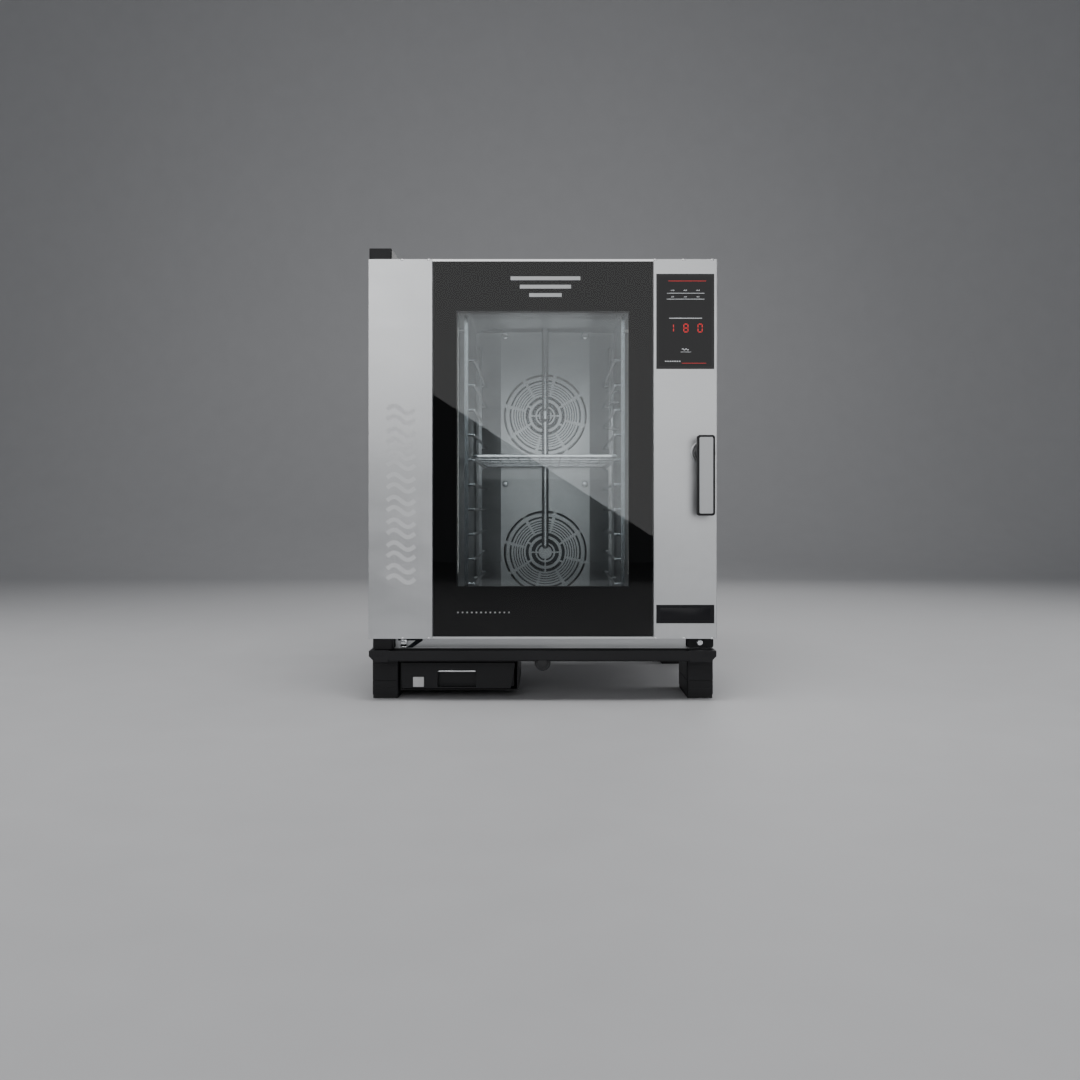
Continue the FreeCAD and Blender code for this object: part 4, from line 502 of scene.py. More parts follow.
def turn(shape, profile, place, axis, steps=40):
    """Spin a list of (radius, distance along the axis) into a round solid."""
    axis = Vector(axis).normalized()
    side = axis.orthogonal().normalized()
    points = [shape.verts.new(Vector(place) + side * radius + axis * along) for radius, along in profile]
    edges = [shape.edges.new(pair) for pair in zip(points, points[1:])]
    bmesh.ops.spin(shape, geom=points + edges, cent=place, axis=axis, angle=math.tau, steps=steps,
                   use_merge=True)
    bmesh.ops.remove_doubles(shape, verts=shape.verts, dist=1e-6)


def bend_rod(shape, path, radius, sides=12):
    """Sweep a circle along a list of points and close its ends."""
    points = [Vector(point) for point in path]
    before = None
    for number, point in enumerate(points):
        ahead = points[min(number + 1, len(points) - 1)]
        behind = points[max(number - 1, 0)]
        facing = (ahead - behind).to_track_quat("Z", "Y").to_matrix().to_4x4()
        last = number in (0, len(points) - 1)
        made = bmesh.ops.create_circle(shape, cap_ends=last, segments=sides, radius=radius,
                                       matrix=Matrix.Translation(point) @ facing)["verts"]
        loop = [edge for edge in shape.edges if edge.verts[0] in made and edge.verts[1] in made]
        if before:
            bmesh.ops.bridge_loops(shape, edges=before + loop)
        before = loop


def ribbon(shape, line, width, front, rear):
    """Add a flat strip of constant width that follows (x, z) points, between two y values."""
    faces = []
    last = None
    for number, (x, z) in enumerate(line):
        ahead = line[min(number + 1, len(line) - 1)]
        behind = line[max(number - 1, 0)]
        along = Vector((ahead[0] - behind[0], 0, ahead[1] - behind[1])).normalized()
        across = Vector((-along.z, 0, along.x)) * width / 2
        pair = [shape.verts.new(Vector((x, rear, z)) + across * side) for side in (1, -1)]
        if last:
            faces.append(shape.faces.new((last[0], last[1], pair[1], pair[0])))
        last = pair
    moved = bmesh.ops.extrude_face_region(shape, geom=faces)["geom"]
    bmesh.ops.translate(shape, verts=[item for item in moved if isinstance(item, bmesh.types.BMVert)],
                        vec=(0, front - rear, 0))


def piece(name, shape, body, finish, smooth=True):
    """Turn a bmesh into a piece that rides on a body and takes a finish."""
    bmesh.ops.recalc_face_normals(shape, faces=shape.faces)
    made = mesh_object(name, shape)
    made.data.materials.append(finish)
    if smooth:
        for polygon in made.data.polygons:
            polygon.use_smooth = True
        made.data.set_sharp_from_angle(angle=math.radians(35))
    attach(made, body)
    PIECES.append(made)
    return made


PIECES = []

# %% [markdown]
# ## The display
# On the real door this is a touch panel under dark glass: rows of small signs with thin lines, red
# digits in the middle and a status line at the foot. The lit parts are thin raised prints, one piece
# for the white ones and one for the red, so that each colour can glow by itself.

# %% The panel's screen
FACE_INSET = 3.7 * MM
face_low = panel_low + Vector((FACE_INSET, 0, FACE_INSET))
face_high = panel_high - Vector((FACE_INSET, 0, FACE_INSET))
face_y = panel_low.y
PRINT = 0.12 * MM


def on_panel(across, down):
    """Return the (x, z) of a point given as shares of the panel's width and height from its top left."""
    return (face_low.x + (face_high.x - face_low.x) * across, face_high.z - (face_high.z - face_low.z) * down)


def panel_bar(shape, across, down, thick):
    """Add a thin printed bar to the panel between two shares of its width."""
    (left, z), (right, _) = on_panel(across[0], down), on_panel(across[1], down)
    block(shape, (left, face_y - 2 * PRINT, z - thick / 2), (right, face_y, z + thick / 2))


screen = bmesh.new()
left, top_z = on_panel(0.045, 0.028)
right, low_z = on_panel(0.955, 0.972)
block(screen, (left, face_y - PRINT, low_z), (right, face_y + 1.0 * MM, top_z))
depth_edges = [edge for edge in screen.edges
               if abs((edge.verts[0].co - edge.verts[1].co).normalized().y) > 0.9]
bmesh.ops.bevel(screen, geom=depth_edges, offset=2.5 * MM, segments=5, profile=0.5, affect="EDGES",
                material=-1)
piece("display_screen", screen, "door", screen_glass)

white_signs = bmesh.new()
for down in (0.204, 0.266):
    panel_bar(white_signs, (0.18, 0.83), down, 1.0 * MM)
panel_bar(white_signs, (0.22, 0.79), 0.467, 1.5 * MM)
panel_bar(white_signs, (0.42, 0.60), 0.822, 0.8 * MM)
for across in (0.28, 0.50, 0.72):
    for down in (0.172, 0.240):
        x, z = on_panel(across, down)
        wide = 8 * MM if down < 0.2 else 6 * MM
        foot = z - 1.3 * MM
        for number in range(4):
            start = x - wide / 2 + number * wide / 4
            rise = 1.2 * MM * (1 + number % 2)
            block(white_signs, (start, face_y - 2 * PRINT, foot), (start + wide / 6, face_y, foot + rise))
x, z = on_panel(0.50, 0.795)
small_wave = [(x + (number - 8) * 0.9 * MM, z + 1.6 * MM * math.sin(number * 0.8)) for number in range(17)]
ribbon(white_signs, small_wave, 1.3 * MM, face_y - 2 * PRINT, face_y)
for number in range(7):
    panel_bar(white_signs, (0.15 + 0.04 * number, 0.175 + 0.04 * number), 0.92, 2.2 * MM)
piece("display_white_signs", white_signs, "door", white_glow, smooth=False)
print("screen from", round(left, 4), "to", round(right, 4))

# %% The red digits
SEGMENTS = {"1": "bc", "8": "abcdefg", "0": "abcdef"}
DIGIT_WIDE = 9.0 * MM
DIGIT_HIGH = 17.0 * MM
STROKE = 1.7 * MM


def digit(shape, sign, x, z):
    """Add one seven-segment digit about a point."""
    half_wide, half_high, gap = DIGIT_WIDE / 2, DIGIT_HIGH / 2, STROKE * 0.7
    places = {
        "a": [(-half_wide + gap, half_high), (half_wide - gap, half_high)],
        "g": [(-half_wide + gap, 0), (half_wide - gap, 0)],
        "d": [(-half_wide + gap, -half_high), (half_wide - gap, -half_high)],
        "f": [(-half_wide, gap), (-half_wide, half_high - gap)],
        "b": [(half_wide, gap), (half_wide, half_high - gap)],
        "e": [(-half_wide, -half_high + gap), (-half_wide, -gap)],
        "c": [(half_wide, -half_high + gap), (half_wide, -gap)],
    }
    for segment in SEGMENTS[sign]:
        line = [(x + u, z + v) for u, v in places[segment]]
        ribbon(shape, line, STROKE, face_y - 2 * PRINT, face_y)


red_signs = bmesh.new()
for sign, across in zip("180", (0.26, 0.51, 0.755)):
    digit(red_signs, sign, *on_panel(across, 0.57))
panel_bar(red_signs, (0.21, 0.86), 0.075, 0.8 * MM)
panel_bar(red_signs, (0.44, 0.86), 0.94, 0.7 * MM)
piece("display_red_signs", red_signs, "door", red_glow, smooth=False)
print("display pieces:", len(PIECES))

# %% [markdown]
# ## Marks on glass and steel
# Such ovens carry printed signs on the glass and on the hinge-side panel. These places have plain
# prints here that stand for nothing: three level bars over the window, a row of square dots under
# it, and a tall row of waves on the cover. A print has almost no thickness, so each one is a thin
# block or ribbon that stands a tenth of a millimetre out of its surface.

# %% The bars and dots on the glass
GLASS_FRONT = glass_low.y
PRINT_RISE = 0.1 * MM
BARS_MIDDLE_X = middle_x + 2 * MM
BARS_TOP_Z = glass_high.z - 32.5 * MM
BAR_HIGH = 8 * MM
BAR_PITCH = 18 * MM
DOTS_LEFT_X = glass_low.x + 53.1 * MM
DOTS_Z = glass_low.z + 50.5 * MM
DOT_WIDE = 3 * MM
DOT_PITCH = 10 * MM

glass_bars = bmesh.new()
for number, wide in enumerate((150 * MM, 110 * MM, 70 * MM)):
    top_z = BARS_TOP_Z - number * BAR_PITCH
    block(glass_bars, (BARS_MIDDLE_X - wide / 2, GLASS_FRONT - PRINT_RISE, top_z - BAR_HIGH),
          (BARS_MIDDLE_X + wide / 2, GLASS_FRONT, top_z))
piece("glass_bar_print", glass_bars, "door", light_print, smooth=False)

glass_dots = bmesh.new()
for number in range(12):
    left_x = DOTS_LEFT_X + number * DOT_PITCH
    block(glass_dots, (left_x, GLASS_FRONT - PRINT_RISE, DOTS_Z),
          (left_x + DOT_WIDE, GLASS_FRONT, DOTS_Z + DOT_WIDE))
piece("glass_dot_print", glass_dots, "door", light_print, smooth=False)
print("glass prints made")

# %% The tall row of waves on the left cover
WAVE_LEFT = left_low.x + 40 * MM
WAVE_LOW = left_low.z + 115 * MM
WAVE_PITCH = 49 * MM
WAVE_ROWS = 8
WAVE_STEPS = 16
WAVE_STEP = 3.75 * MM
tall_print = bmesh.new()
for number in range(WAVE_ROWS):
    row_z = WAVE_LOW + WAVE_PITCH * (number + 0.5)
    for shift in (-11 * MM, 11 * MM):
        line = [(WAVE_LEFT + step * WAVE_STEP,
                 row_z + shift + 8 * MM * math.sin(step * math.tau / WAVE_STEPS))
                for step in range(WAVE_STEPS + 1)]
        ribbon(tall_print, line, 9 * MM, door_face - PRINT_RISE, door_face)
piece("cover_wave_print", tall_print, "door", pale_print, smooth=False)
print("cover print rows:", WAVE_ROWS)

# %% [markdown]
# ## Fittings of the door
# Light bars stand beside the window between the panes. Small clips hold the trims, and six turned
# clips hold the inner pane. Folded and moulded parts have no sharp edges, so each block is softened.

# %% Light bars in the door
BAR_NEAR = 189 * MM
BAR_FAR = 199 * MM
CAP_LAP = 1 * MM
light_bars = bmesh.new()
light_caps = bmesh.new()
for side in (-1, 1):
    low_x, high_x = sorted((side * BAR_NEAR, side * BAR_FAR))
    block(light_bars, (low_x, door_face + 31 * MM, window_low.z + 20 * MM),
          (high_x, door_face + 38 * MM, window_high.z - 20 * MM))
    for low_z in (window_low.z + 8 * MM, window_high.z - 22 * MM):
        block(light_caps, (low_x - CAP_LAP, door_face + 29.5 * MM, low_z),
              (high_x + CAP_LAP, door_face + 39 * MM, low_z + 14 * MM))
soften(light_bars, 2 * MM, 3)
soften(light_caps, 1.2 * MM, 2)
piece("door_light_bars", light_bars, "door", lamp_glow)
piece("door_light_caps", light_caps, "door", moulded_black)
print("light bars made")

# %% Clips on the door's top and bottom edges
CLIP_PLACES = (-302 * MM, -245 * MM, 243 * MM, 304 * MM, 365 * MM)
clips = bmesh.new()
for across in CLIP_PLACES:
    for edge_z, way in ((door_high.z, 1), (door_low.z, -1)):
        low_z, high_z = sorted((edge_z - 3 * MM * way, edge_z + 0.9 * MM * way))
        block(clips, (across - 3 * MM, door_face - 0.6 * MM, low_z),
              (across + 3 * MM, door_face + 6 * MM, high_z))
soften(clips, 0.4 * MM, 2)
piece("door_edge_clips", clips, "door", bright_trim)

pane_clips = bmesh.new()
pane_middle_z = (inner_pane_low.z + inner_pane_high.z) / 2
CLIP_HEIGHTS = (inner_pane_low.z + 60 * MM, pane_middle_z, inner_pane_high.z - 60 * MM)
CLIP_PROFILE = [(0, 3.2 * MM), (0, 5 * MM), (3 * MM, 4.6 * MM), (4 * MM, 3.2 * MM)]
for side in (-1, 1):
    clip_x = side * (inner_pane_high.x + 3 * MM)
    for clip_z in CLIP_HEIGHTS:
        block(pane_clips, (clip_x - 9 * MM, inner_pane_high.y + 1.4 * MM, clip_z - 11 * MM),
              (clip_x + 9 * MM, inner_pane_high.y + 3.4 * MM, clip_z + 11 * MM))
soften(pane_clips, 0.6 * MM, 2)
for side in (-1, 1):
    for clip_z in CLIP_HEIGHTS:
        turn(pane_clips, CLIP_PROFILE, (side * (inner_pane_high.x + 7 * MM), inner_pane_high.y, clip_z),
             (0, 1, 0), 20)
piece("inner_pane_clips", pane_clips, "door", rod_steel)
print("clips made")

# %% The port flap and the handle's collar
port_low, port_high = ends("port_plate")
port_flap = bmesh.new()
block(port_flap, (port_low.x + 12 * MM, port_low.y - 0.5 * MM, port_low.z + 10 * MM),
      (port_high.x - 12 * MM, port_low.y + 0.4 * MM, port_high.z - 10 * MM))
soften(port_flap, 0.4 * MM, 2)
piece("port_flap", port_flap, "door", port_black)

spindle_middle = sum(ends("handle_spindle"), Vector()) / 2
collar = bmesh.new()
collar_profile = [(20 * MM, 0.0), (26 * MM, 0.0), (27 * MM, -0.6 * MM), (26 * MM, -1.0 * MM),
                  (21 * MM, -1.0 * MM), (20 * MM, -0.6 * MM), (20 * MM, 0.0)]
turn(collar, collar_profile, (spindle_middle.x, door_face, spindle_middle.z), (0, 1, 0), 48)
piece("handle_collar", collar, "door", machined_steel)
print("handle fittings made")

# %% [markdown]
# ## Fittings at the hinge and under the door
# A bright bent tab stands before the dark arm at the lower hinge. The upper cover, the corner plate
# and the casing are held by screws. Cutting a drive into each head would take a boolean, so the
# domed heads get a small raised hexagon, and the flat heads get two thin crossed ribs in black, which are
# painted shade for the dark inside a drive recess.

# %% Screw heads


def screw_head(shape, place, axis, radius, high):
    """Add a domed screw head with a raised hexagon inside its rim."""
    turn(shape, [(0, 0), (radius, 0), (radius, high * 0.5), (radius * 0.8, high), (radius * 0.52, high),
                 (radius * 0.48, high * 0.45), (0, high * 0.45)], place, axis, 24)
    turn(shape, [(0, high * 0.4), (radius * 0.25, high * 0.4), (radius * 0.22, high * 0.8), (0, high * 0.8)],
         place, axis, 6)


def cross_ribs(shape, place, axis, radius):
    """Add a cross of two thin raised ribs on a flat screw head."""
    axis = Vector(axis)
    first = axis.orthogonal().normalized()
    second = axis.cross(first)
    for along, across in ((first, second), (second, first)):
        corner = along * radius * 0.7 + across * radius * 0.13 + axis * 0.15 * MM
        low = Vector(place) - corner
        high = Vector(place) + corner
        block(shape, [min(pair) for pair in zip(low, high)], [max(pair) for pair in zip(low, high)])


arm_low, arm_high = ends("door_stop_arm")
hinge_tab = bmesh.new()
TAB_HALF = 6.5 * MM
tab_x = arm_low.x + 12.5 * MM
block(hinge_tab, (tab_x - TAB_HALF, arm_low.y - 4.5 * MM, arm_low.z + 3 * MM),
      (tab_x + TAB_HALF, arm_low.y - 0.2 * MM, arm_high.z - 4 * MM))
block(hinge_tab, (tab_x - TAB_HALF, arm_low.y - 4.5 * MM, arm_low.z + 0.2 * MM),
      (tab_x + TAB_HALF, arm_low.y + 1 * MM, arm_low.z + 3 * MM))
soften(hinge_tab, 0.7 * MM, 2)
piece("hinge_tab", hinge_tab, "casing", bright_trim)

corner_low, _ = ends("corner_plate")
corner_screw = bmesh.new()
corner_place = corner_low + Vector((27, -2, 11.5)) * MM
screw_head(corner_screw, corner_place, (0, -1, 0), 6.4 * MM, 2.2 * MM)
cover_low, cover_high = ends("upper_hinge_cover")
cover_x = (cover_low.x + cover_high.x) / 2
for y_place in (cover_low.y + 20 * MM, cover_high.y - 20 * MM):
    screw_head(corner_screw, (cover_x, y_place, cover_high.z), (0, 0, 1), 4.5 * MM, 1.6 * MM)
piece("cover_screws", corner_screw, "casing", bright_trim)
print("hinge fittings made")

# %% Cross ribs on the casing's screws, black as painted shade of the drive recesses
drive_shade_crosses = bmesh.new()
rear_low, rear_high = ends("rear_panel")
top_low, top_high = ends("top_cover")
HEAD = 2.4 * MM
for across in (rear_low.x + 12 * MM, rear_high.x - 12 * MM):
    for height in (rear_low.z + 40 * MM, (rear_low.z + top_high.z) / 2, top_high.z - 40 * MM):
        cross_ribs(drive_shade_crosses, (across, rear_high.y + HEAD, height), (0, 1, 0), 5 * MM)
for across in (top_low.x + 30 * MM, 0, top_high.x - 30 * MM):
    for distance in (top_low.y + 62 * MM, rear_high.y - 30 * MM):
        cross_ribs(drive_shade_crosses, (across, distance, top_high.z + HEAD), (0, 0, 1), 5 * MM)
# The black finish on these ribs is painted shade: it stands for the dark inside each screw's drive recess.
piece("casing_screw_drive_shade", drive_shade_crosses, "casing", frame_black)
print("screw crosses made")

# %% [markdown]
# ## The drip gutter, the legs and the drawer
# The gutter drains through a rubber plug, and its end caps carry raised ribs. Each leg has a
# levelling foot that shows as a ring at its base. The drawer front has a bright lip over its grip
# and a small white window that shows how much detergent is left.

# %% Gutter plug and cap ribs
gutter_low, _ = ends("drip_gutter")
plug = bmesh.new()
plug_profile = [(0, -2.6 * MM), (9 * MM, -2.6 * MM), (11 * MM, -1.6 * MM), (12 * MM, 0),
                (15.5 * MM, 0), (16 * MM, 0.8 * MM), (0, 0.8 * MM)]
turn(plug, plug_profile, (0, gutter_low.y + 3.6 * MM, gutter_low.z + 17 * MM), (0, 1, 0), 36)
piece("gutter_plug", plug, "casing", seal_rubber)
caps_low, caps_high = ends("gutter_end_caps")
RIB_HALF = 1.2 * MM
ribs = bmesh.new()
for side in (-1, 1):
    for number in range(3):
        rib_x = side * (caps_high.x - (10 + 9 * number) * MM)
        block(ribs, (rib_x - RIB_HALF, caps_low.y - 0.8 * MM, caps_low.z + 13 * MM),
              (rib_x + RIB_HALF, caps_low.y + 1 * MM, caps_high.z - 3 * MM))
soften(ribs, 0.5 * MM, 2)
piece("gutter_cap_ribs", ribs, "casing", moulded_black)
print("gutter fittings made")

# %% Levelling rings and leg seams
LEG_INSET = 28.5 * MM
RING_BASE = 0.4 * MM
legs = bmesh.new()
ring_profile = [(21 * MM, 0), (23.5 * MM, 0.6 * MM), (24.5 * MM, 3 * MM), (24.5 * MM, 6 * MM),
                (22 * MM, 7.5 * MM), (21 * MM, 7.5 * MM), (21 * MM, 0)]
for leg_node in ("front_legs", "rear_legs"):
    leg_low, leg_high = ends(leg_node)
    for side in (-1, 1):
        leg_x = side * (leg_high.x - LEG_INSET)
        turn(legs, ring_profile, (leg_x, (leg_low.y + leg_high.y) / 2, RING_BASE), (0, 0, 1), 40)
piece("levelling_rings", legs, "casing", moulded_black)
seams = bmesh.new()
leg_low, leg_high = ends("front_legs")
for side in (-1, 1):
    leg_x = side * (leg_high.x - LEG_INSET)
    for height in (leg_low.z + 14 * MM, leg_low.z + 66 * MM):
        block(seams, (leg_x - 24 * MM, leg_low.y - 0.35 * MM, height - 0.5 * MM),
              (leg_x + 24 * MM, leg_low.y + 0.4 * MM, height + 0.5 * MM))
soften(seams, 0.25 * MM, 1)
piece("leg_joint_lines", seams, "casing", seal_rubber)
print("leg fittings made")

# %% Detergent drawer
drawer_low, _ = ends("drawer_front")
window = bmesh.new()
pane_start = drawer_low + Vector((25.9, -0.9, 3)) * MM
pane_end = drawer_low + Vector((49.9, 2, 25)) * MM
block(window, pane_start, pane_end)
soften(window, 0.9 * MM, 3)
piece("drawer_window", window, "drawer", white_plastic)
FRAME_OUT = 2.2 * MM
FRAME_SIDE = 0.6 * MM
FRAME_FOOT = 2 * MM
FRAME_LAP = 0.4 * MM
left_out, right_out = pane_start.x - FRAME_OUT, pane_end.x + FRAME_OUT
foot_out, head_out = pane_start.z - FRAME_FOOT, pane_end.z + FRAME_FOOT
foot_in, head_in = pane_start.z - FRAME_LAP, pane_end.z + FRAME_LAP
frame_ring = bmesh.new()
for low_x, high_x, low_z, high_z in (
        (left_out, right_out, foot_out, foot_in),
        (left_out, right_out, head_in, head_out),
        (left_out, pane_start.x - FRAME_SIDE, foot_in, head_in),
        (pane_end.x + FRAME_SIDE, right_out, foot_in, head_in)):
    block(frame_ring, (low_x, drawer_low.y - 1.3 * MM, low_z), (high_x, drawer_low.y + 1 * MM, high_z))
soften(frame_ring, 0.4 * MM, 1)
piece("drawer_window_frame", frame_ring, "drawer", moulded_black)
lip = bmesh.new()
block(lip, drawer_low + Vector((80.9, -0.2, 35.5)) * MM, drawer_low + Vector((162.9, 4, 39.5)) * MM)
soften(lip, 1.2 * MM, 3)
piece("drawer_grip_lip", lip, "drawer", bright_trim)
print("drawer fittings made")

# %% [markdown]
# ## Inside the cooking space
# The fan guard hangs on thumb screws with flat sides, a probe lies in its holder on the right wall,
# and a strainer of crossed bars covers the drain. The seal round the mouth has a soft lip that the
# door presses.

# %% Thumb screws and rack caps
guard_low, guard_high = ends("fan_guard")
fan_middles = [sum(ends(fan), Vector()).z / 2 for fan in ("lower_impeller", "upper_impeller")]
thumb_screws = bmesh.new()
thumb_profile = [(0, 0), (5 * MM, 0), (5 * MM, 2 * MM), (8 * MM, 2 * MM), (8.6 * MM, 3 * MM),
                 (8.6 * MM, 8 * MM), (8 * MM, 9 * MM), (3 * MM, 9.6 * MM), (0, 9.6 * MM)]
for side in (-1, 1):
    for height in (guard_low.z + 10 * MM, sum(fan_middles) / 2, guard_high.z - 10 * MM):
        place = (middle_x + side * 108 * MM, guard_low.y, height)
        turn(thumb_screws, thumb_profile, place, (0, -1, 0), 12)
soften(thumb_screws, 0.35 * MM, 1)
piece("guard_thumb_screws", thumb_screws, "casing", rod_steel)

rack_caps = bmesh.new()
POST_INSET = 4 * MM
cap_profile = [(0, 5 * MM), (2.6 * MM, 4.4 * MM), (4.2 * MM, 2.4 * MM), (4.6 * MM, 0), (0, 0)]
for rack in ("rack_left", "rack_right"):
    rack_low, rack_high = ends(rack)
    post_x = rack_low.x + POST_INSET if rack == "rack_left" else rack_high.x - POST_INSET
    for post_y in (rack_low.y + POST_INSET, rack_high.y - POST_INSET):
        for height, way in ((rack_high.z, 1), (rack_low.z, -1)):
            turn(rack_caps, cap_profile, (post_x, post_y, height), (0, 0, way), 24)
piece("rack_post_caps", rack_caps, "casing", rod_steel)
print("guard and rack fittings made")

# %% Probe, holder and strainer
wall_x = liner_high.x - 1.5 * MM
probe_x = wall_x - 16 * MM
probe_y = liner_low.y + 425.5 * MM
probe_z = liner_low.z + 529.5 * MM
probe = bmesh.new()
lead_path = [(probe_x, probe_y, probe_z - 150 * MM), (probe_x, probe_y, probe_z),
             (wall_x - 15 * MM, probe_y, probe_z + 12 * MM), (wall_x - 9 * MM, probe_y, probe_z + 20 * MM),
             (wall_x - 1 * MM, probe_y, probe_z + 22 * MM)]
bend_rod(probe, lead_path, 2.4 * MM, 14)
grip_profile = [(0, 0), (4.5 * MM, 0), (5.4 * MM, 6 * MM), (5.4 * MM, 52 * MM), (4.2 * MM, 58 * MM),
                (0, 58 * MM)]
turn(probe, grip_profile, (probe_x, probe_y, probe_z - 70 * MM), (0, 0, 1), 24)
piece("core_probe", probe, "casing", rod_steel)
holder = bmesh.new()
for height in (probe_z - 78 * MM, probe_z - 8 * MM):
    block(holder, (wall_x - 23 * MM, probe_y - 9 * MM, height - 2 * MM),
          (wall_x, probe_y + 9 * MM, height + 2 * MM))
soften(holder, 1 * MM, 2)
piece("probe_holder", holder, "casing", cavity_steel)

drain_low, _ = ends("drain_pipe")
drain_y = drain_low.y + 19 * MM
floor_level = liner_low.z + 1.5 * MM
strainer = bmesh.new()
rim_profile = [(33 * MM, 0.2 * MM), (33 * MM, 1.2 * MM), (27 * MM, 4.5 * MM), (25 * MM, 4.8 * MM),
               (25 * MM, 3.6 * MM), (31 * MM, 0.2 * MM), (33 * MM, 0.2 * MM)]
turn(strainer, rim_profile, (middle_x, drain_y, floor_level), (0, 0, 1), 40)
GRID_RADIUS = 25.4
GRID_PITCH = 7
for number in range(-3, 4):
    grid_x = GRID_PITCH * number
    reach = math.sqrt(GRID_RADIUS ** 2 - grid_x ** 2) * MM
    block(strainer, (middle_x + (grid_x - 1.4) * MM, drain_y - reach, floor_level + 3.6 * MM),
          (middle_x + (grid_x + 1.4) * MM, drain_y + reach, floor_level + 4.8 * MM))
for number in (-1, 1):
    block(strainer, (middle_x - 22 * MM, drain_y + (11 * number - 1.2) * MM, floor_level + 2.6 * MM),
          (middle_x + 22 * MM, drain_y + (11 * number + 1.2) * MM, floor_level + 3.8 * MM))
piece("drain_strainer", strainer, "casing", rod_steel)
print("probe and strainer made")

# %% The lip of the door seal
seal_low, seal_high = ends("door_gasket")
INSET = 7 * MM
CORNER = 14 * MM
CORNER_STEPS = 6
lip_y = seal_low.y + 1.4 * MM
left_x, right_x = seal_low.x + INSET + CORNER, seal_high.x - INSET - CORNER
foot_z, head_z = seal_low.z + INSET + CORNER, seal_high.z - INSET - CORNER
seal_lip = bmesh.new()
loop = []
corners = ((right_x, head_z), (left_x, head_z), (left_x, foot_z), (right_x, foot_z))
for number, (corner_x, corner_z) in enumerate(corners):
    for step in range(CORNER_STEPS + 1):
        angle = math.radians(90 * (number + step / CORNER_STEPS))
        loop.append((corner_x + CORNER * math.cos(angle), lip_y, corner_z + CORNER * math.sin(angle)))
loop.append(loop[0])
bend_rod(seal_lip, loop, 1.8 * MM, 10)
piece("seal_lip", seal_lip, "casing", seal_rubber)
print("seal lip made")

# %% [markdown]
# ## The back and the sides
# The rear carries the cooling fan's wire guard, threads on the two water inlets, ridges on the cable
# gland, beads on the chimney and a blank rating plate. Louvre fins stand out of the side panels, as
# a punch leaves them.

# %% Cooling fan guard
hub_place = sum(ends("cooling_fan_frame"), Vector()) / 2
hub_place.y = rear_high.y + 5 * MM
WIRE = 1.1 * MM
WIRE_SIDES = 8
wire_guard = bmesh.new()
for radius in (10 * MM, 18 * MM, 26 * MM, 34 * MM, 42 * MM):
    round_wire = [(radius + WIRE * math.cos(step * math.tau / WIRE_SIDES),
                   WIRE * math.sin(step * math.tau / WIRE_SIDES)) for step in range(WIRE_SIDES + 1)]
    turn(wire_guard, round_wire, hub_place, (0, 1, 0), 40)
for number in range(4):
    angle = math.radians(45 + 90 * number)
    reach = Vector((math.cos(angle), 0, math.sin(angle)))
    spoke = [hub_place + reach * along * MM + Vector((0, drop * MM, 0))
             for along, drop in ((8, 0), (44, 0), (50, -2), (53, -4.2))]
    bend_rod(wire_guard, spoke, WIRE, WIRE_SIDES)
    screw_place = hub_place + reach * 56 * MM + Vector((0, -5 * MM, 0))
    screw_head(wire_guard, screw_place, (0, 1, 0), 4 * MM, 1.8 * MM)
piece("cooling_fan_guard", wire_guard, "casing", rod_steel)
print("fan guard made")

# %% Threads, gland ridges and chimney beads
valve_low, valve_high = ends("water_valve")
THREAD_ROOT = 13.15 * MM
THREAD_CREST = 13.9 * MM
THREAD_PITCH = 2.3 * MM
profile = [(12.6 * MM, -9.0 * MM)]
for number in range(7):
    along = -8.0 * MM + number * THREAD_PITCH
    profile += [(THREAD_ROOT, along), (THREAD_CREST, along + 0.8 * MM), (THREAD_ROOT, along + 1.6 * MM)]
profile.append((12.6 * MM, 8.4 * MM))
threads = bmesh.new()
for across in (valve_low.x + 20 * MM, valve_high.x - 20 * MM):
    turn(threads, profile, (across, valve_high.y - 8 * MM, valve_low.z + 20 * MM), (0, 1, 0), 40)
piece("inlet_threads", threads, "casing", brass)

gland_middle = sum(ends("cable_gland"), Vector()) / 2
GLAND_RADIUS = 17 * MM
RIDGES = 18
ridges = bmesh.new()
ridge_half = Vector((1.1, 2.9, 1.1)) * MM
for number in range(RIDGES):
    angle = math.tau * number / RIDGES
    place = Vector((gland_middle.x + GLAND_RADIUS * math.cos(angle), rear_high.y + 3.5 * MM,
                    gland_middle.z + GLAND_RADIUS * math.sin(angle)))
    block(ridges, place - ridge_half, place + ridge_half)
soften(ridges, 0.4 * MM, 1)
piece("gland_ridges", ridges, "casing", moulded_black)

chimney_low, chimney_high = ends("exhaust_chimney")
chimney_middle = (chimney_low + chimney_high) / 2
PIPE_RADIUS = 29.9 * MM
beads = bmesh.new()
for along, proud in ((-3.0 * MM, 1.6 * MM), (-20.0 * MM, 1.0 * MM)):
    bead_profile = [(PIPE_RADIUS, along - 2.4 * MM), (PIPE_RADIUS + proud * 0.7, along - 1.6 * MM),
                    (PIPE_RADIUS + proud, along), (PIPE_RADIUS + proud * 0.7, along + 1.6 * MM),
                    (PIPE_RADIUS, along + 2.4 * MM)]
    turn(beads, bead_profile, (chimney_middle.x, chimney_middle.y, chimney_high.z), (0, 0, 1), 48)
piece("chimney_beads", beads, "casing", pipe_steel)
print("rear fittings made")

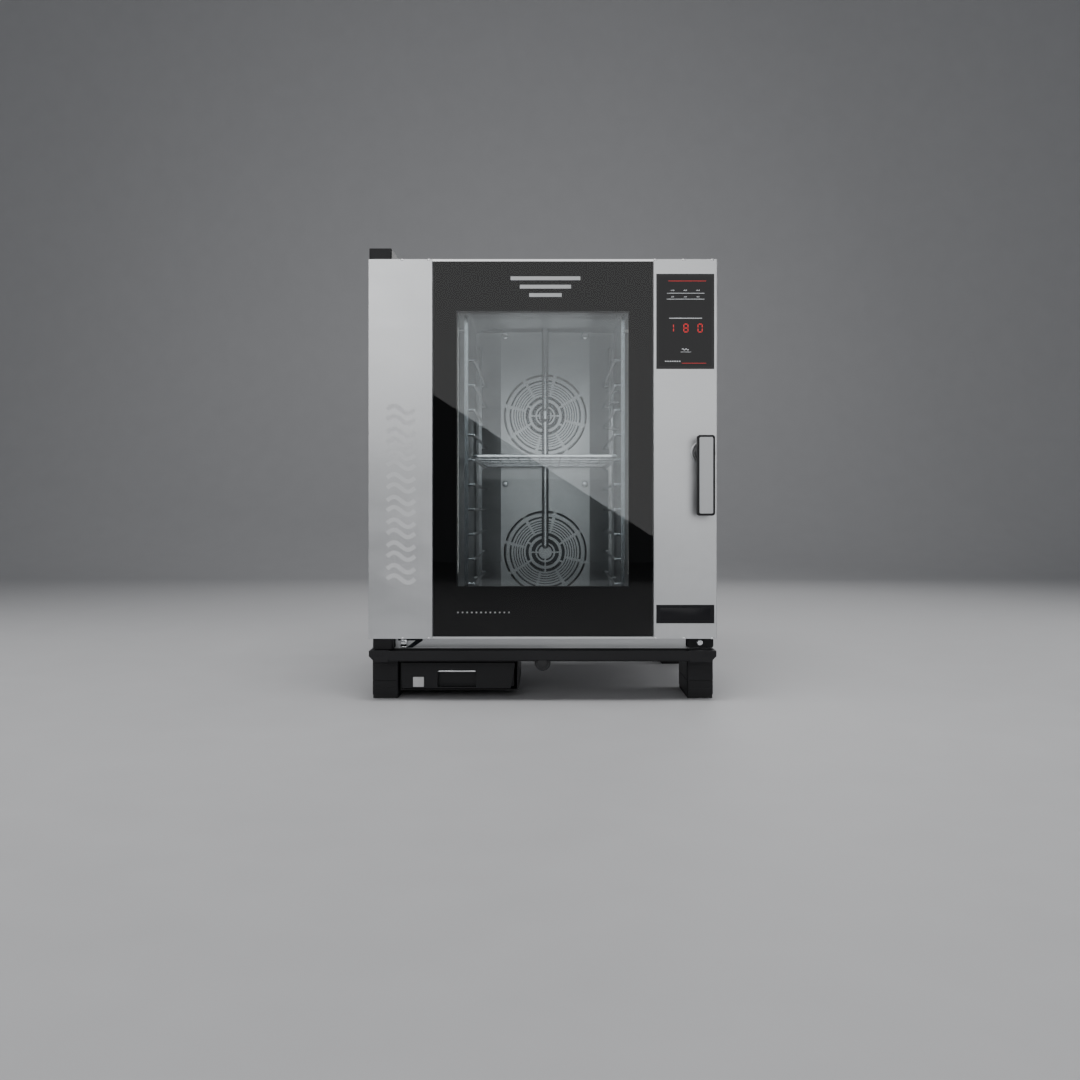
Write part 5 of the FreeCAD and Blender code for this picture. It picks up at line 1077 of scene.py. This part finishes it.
# %% Rating plate, louvre fins and vent fins
plate_left = rear_low.x + 185 * MM
plate_foot = rear_low.z + 220 * MM
plate = bmesh.new()
block(plate, (plate_left, rear_high.y - 0.3 * MM, plate_foot),
      (plate_left + 100 * MM, rear_high.y + 0.6 * MM, plate_foot + 60 * MM))
for number in range(6):
    line_z = plate_foot + (8 + 8 * number) * MM
    line_end = plate_left + (70 - 9 * (number % 3)) * MM
    block(plate, (plate_left + 6 * MM, rear_high.y + 0.3 * MM, line_z),
          (line_end, rear_high.y + 0.9 * MM, line_z + 2 * MM))
soften(plate, 0.2 * MM, 1)
piece("rating_plate", plate, "casing", bright_trim)

side_low, side_high = ends("right_side_panel")
FIN_PROUD = 1.6 * MM
fins = bmesh.new()
for side in (-1, 1):
    face_x = side * side_high.x
    low_x, high_x = sorted((face_x, face_x + side * FIN_PROUD))
    for number in range(12):
        height = side_low.z + (60 + 12 * number) * MM
        fin = block(fins, (low_x, side_high.y - 182 * MM, height + 3.4 * MM),
                    (high_x, side_high.y - 62 * MM, height + 6.4 * MM))
        outer_low = [vert for vert in fin if abs(vert.co.x) > abs(face_x) and vert.co.z < height + 5 * MM]
        bmesh.ops.translate(fins, verts=outer_low, vec=(0, 0, -1.6 * MM))
soften(fins, 0.35 * MM, 1)
piece("louvre_fins", fins, "casing", satin_steel)

VENT_HALF = 80 * MM
vents = bmesh.new()
for number in range(5):
    height = top_high.z - (90 - 10 * number) * MM
    vent = block(vents, (middle_x - VENT_HALF, rear_high.y, height + 3 * MM),
                 (middle_x + VENT_HALF, rear_high.y + 3 * MM, height + 5.4 * MM))
    outer_edge = [vert for vert in vent if vert.co.y > rear_high.y + 1 * MM]
    bmesh.ops.translate(vents, verts=outer_edge, vec=(0, 0, -2.2 * MM))
soften(vents, 0.4 * MM, 1)
piece("rear_vent_fins", vents, "casing", satin_steel)
print("pieces in all:", len(PIECES))

# %% [markdown]
# ## Light in the cooking space
# Rays from the studio lamps lose their way in three panes of glass, so the cooking space has small
# lamps of its own where the light bars would send theirs.

# %% Lamps inside
mouth_y = liner_low.y - 6 * MM
soft_lamp("cavity_middle", (middle_x, mouth_y, 0.60), (middle_x, 0.30, 0.57), 0.30, 0.24, 0.36)
soft_lamp("cavity_low", (middle_x, mouth_y, 0.33), (middle_x, 0.30, 0.30), 0.30, 0.20, 0.10)
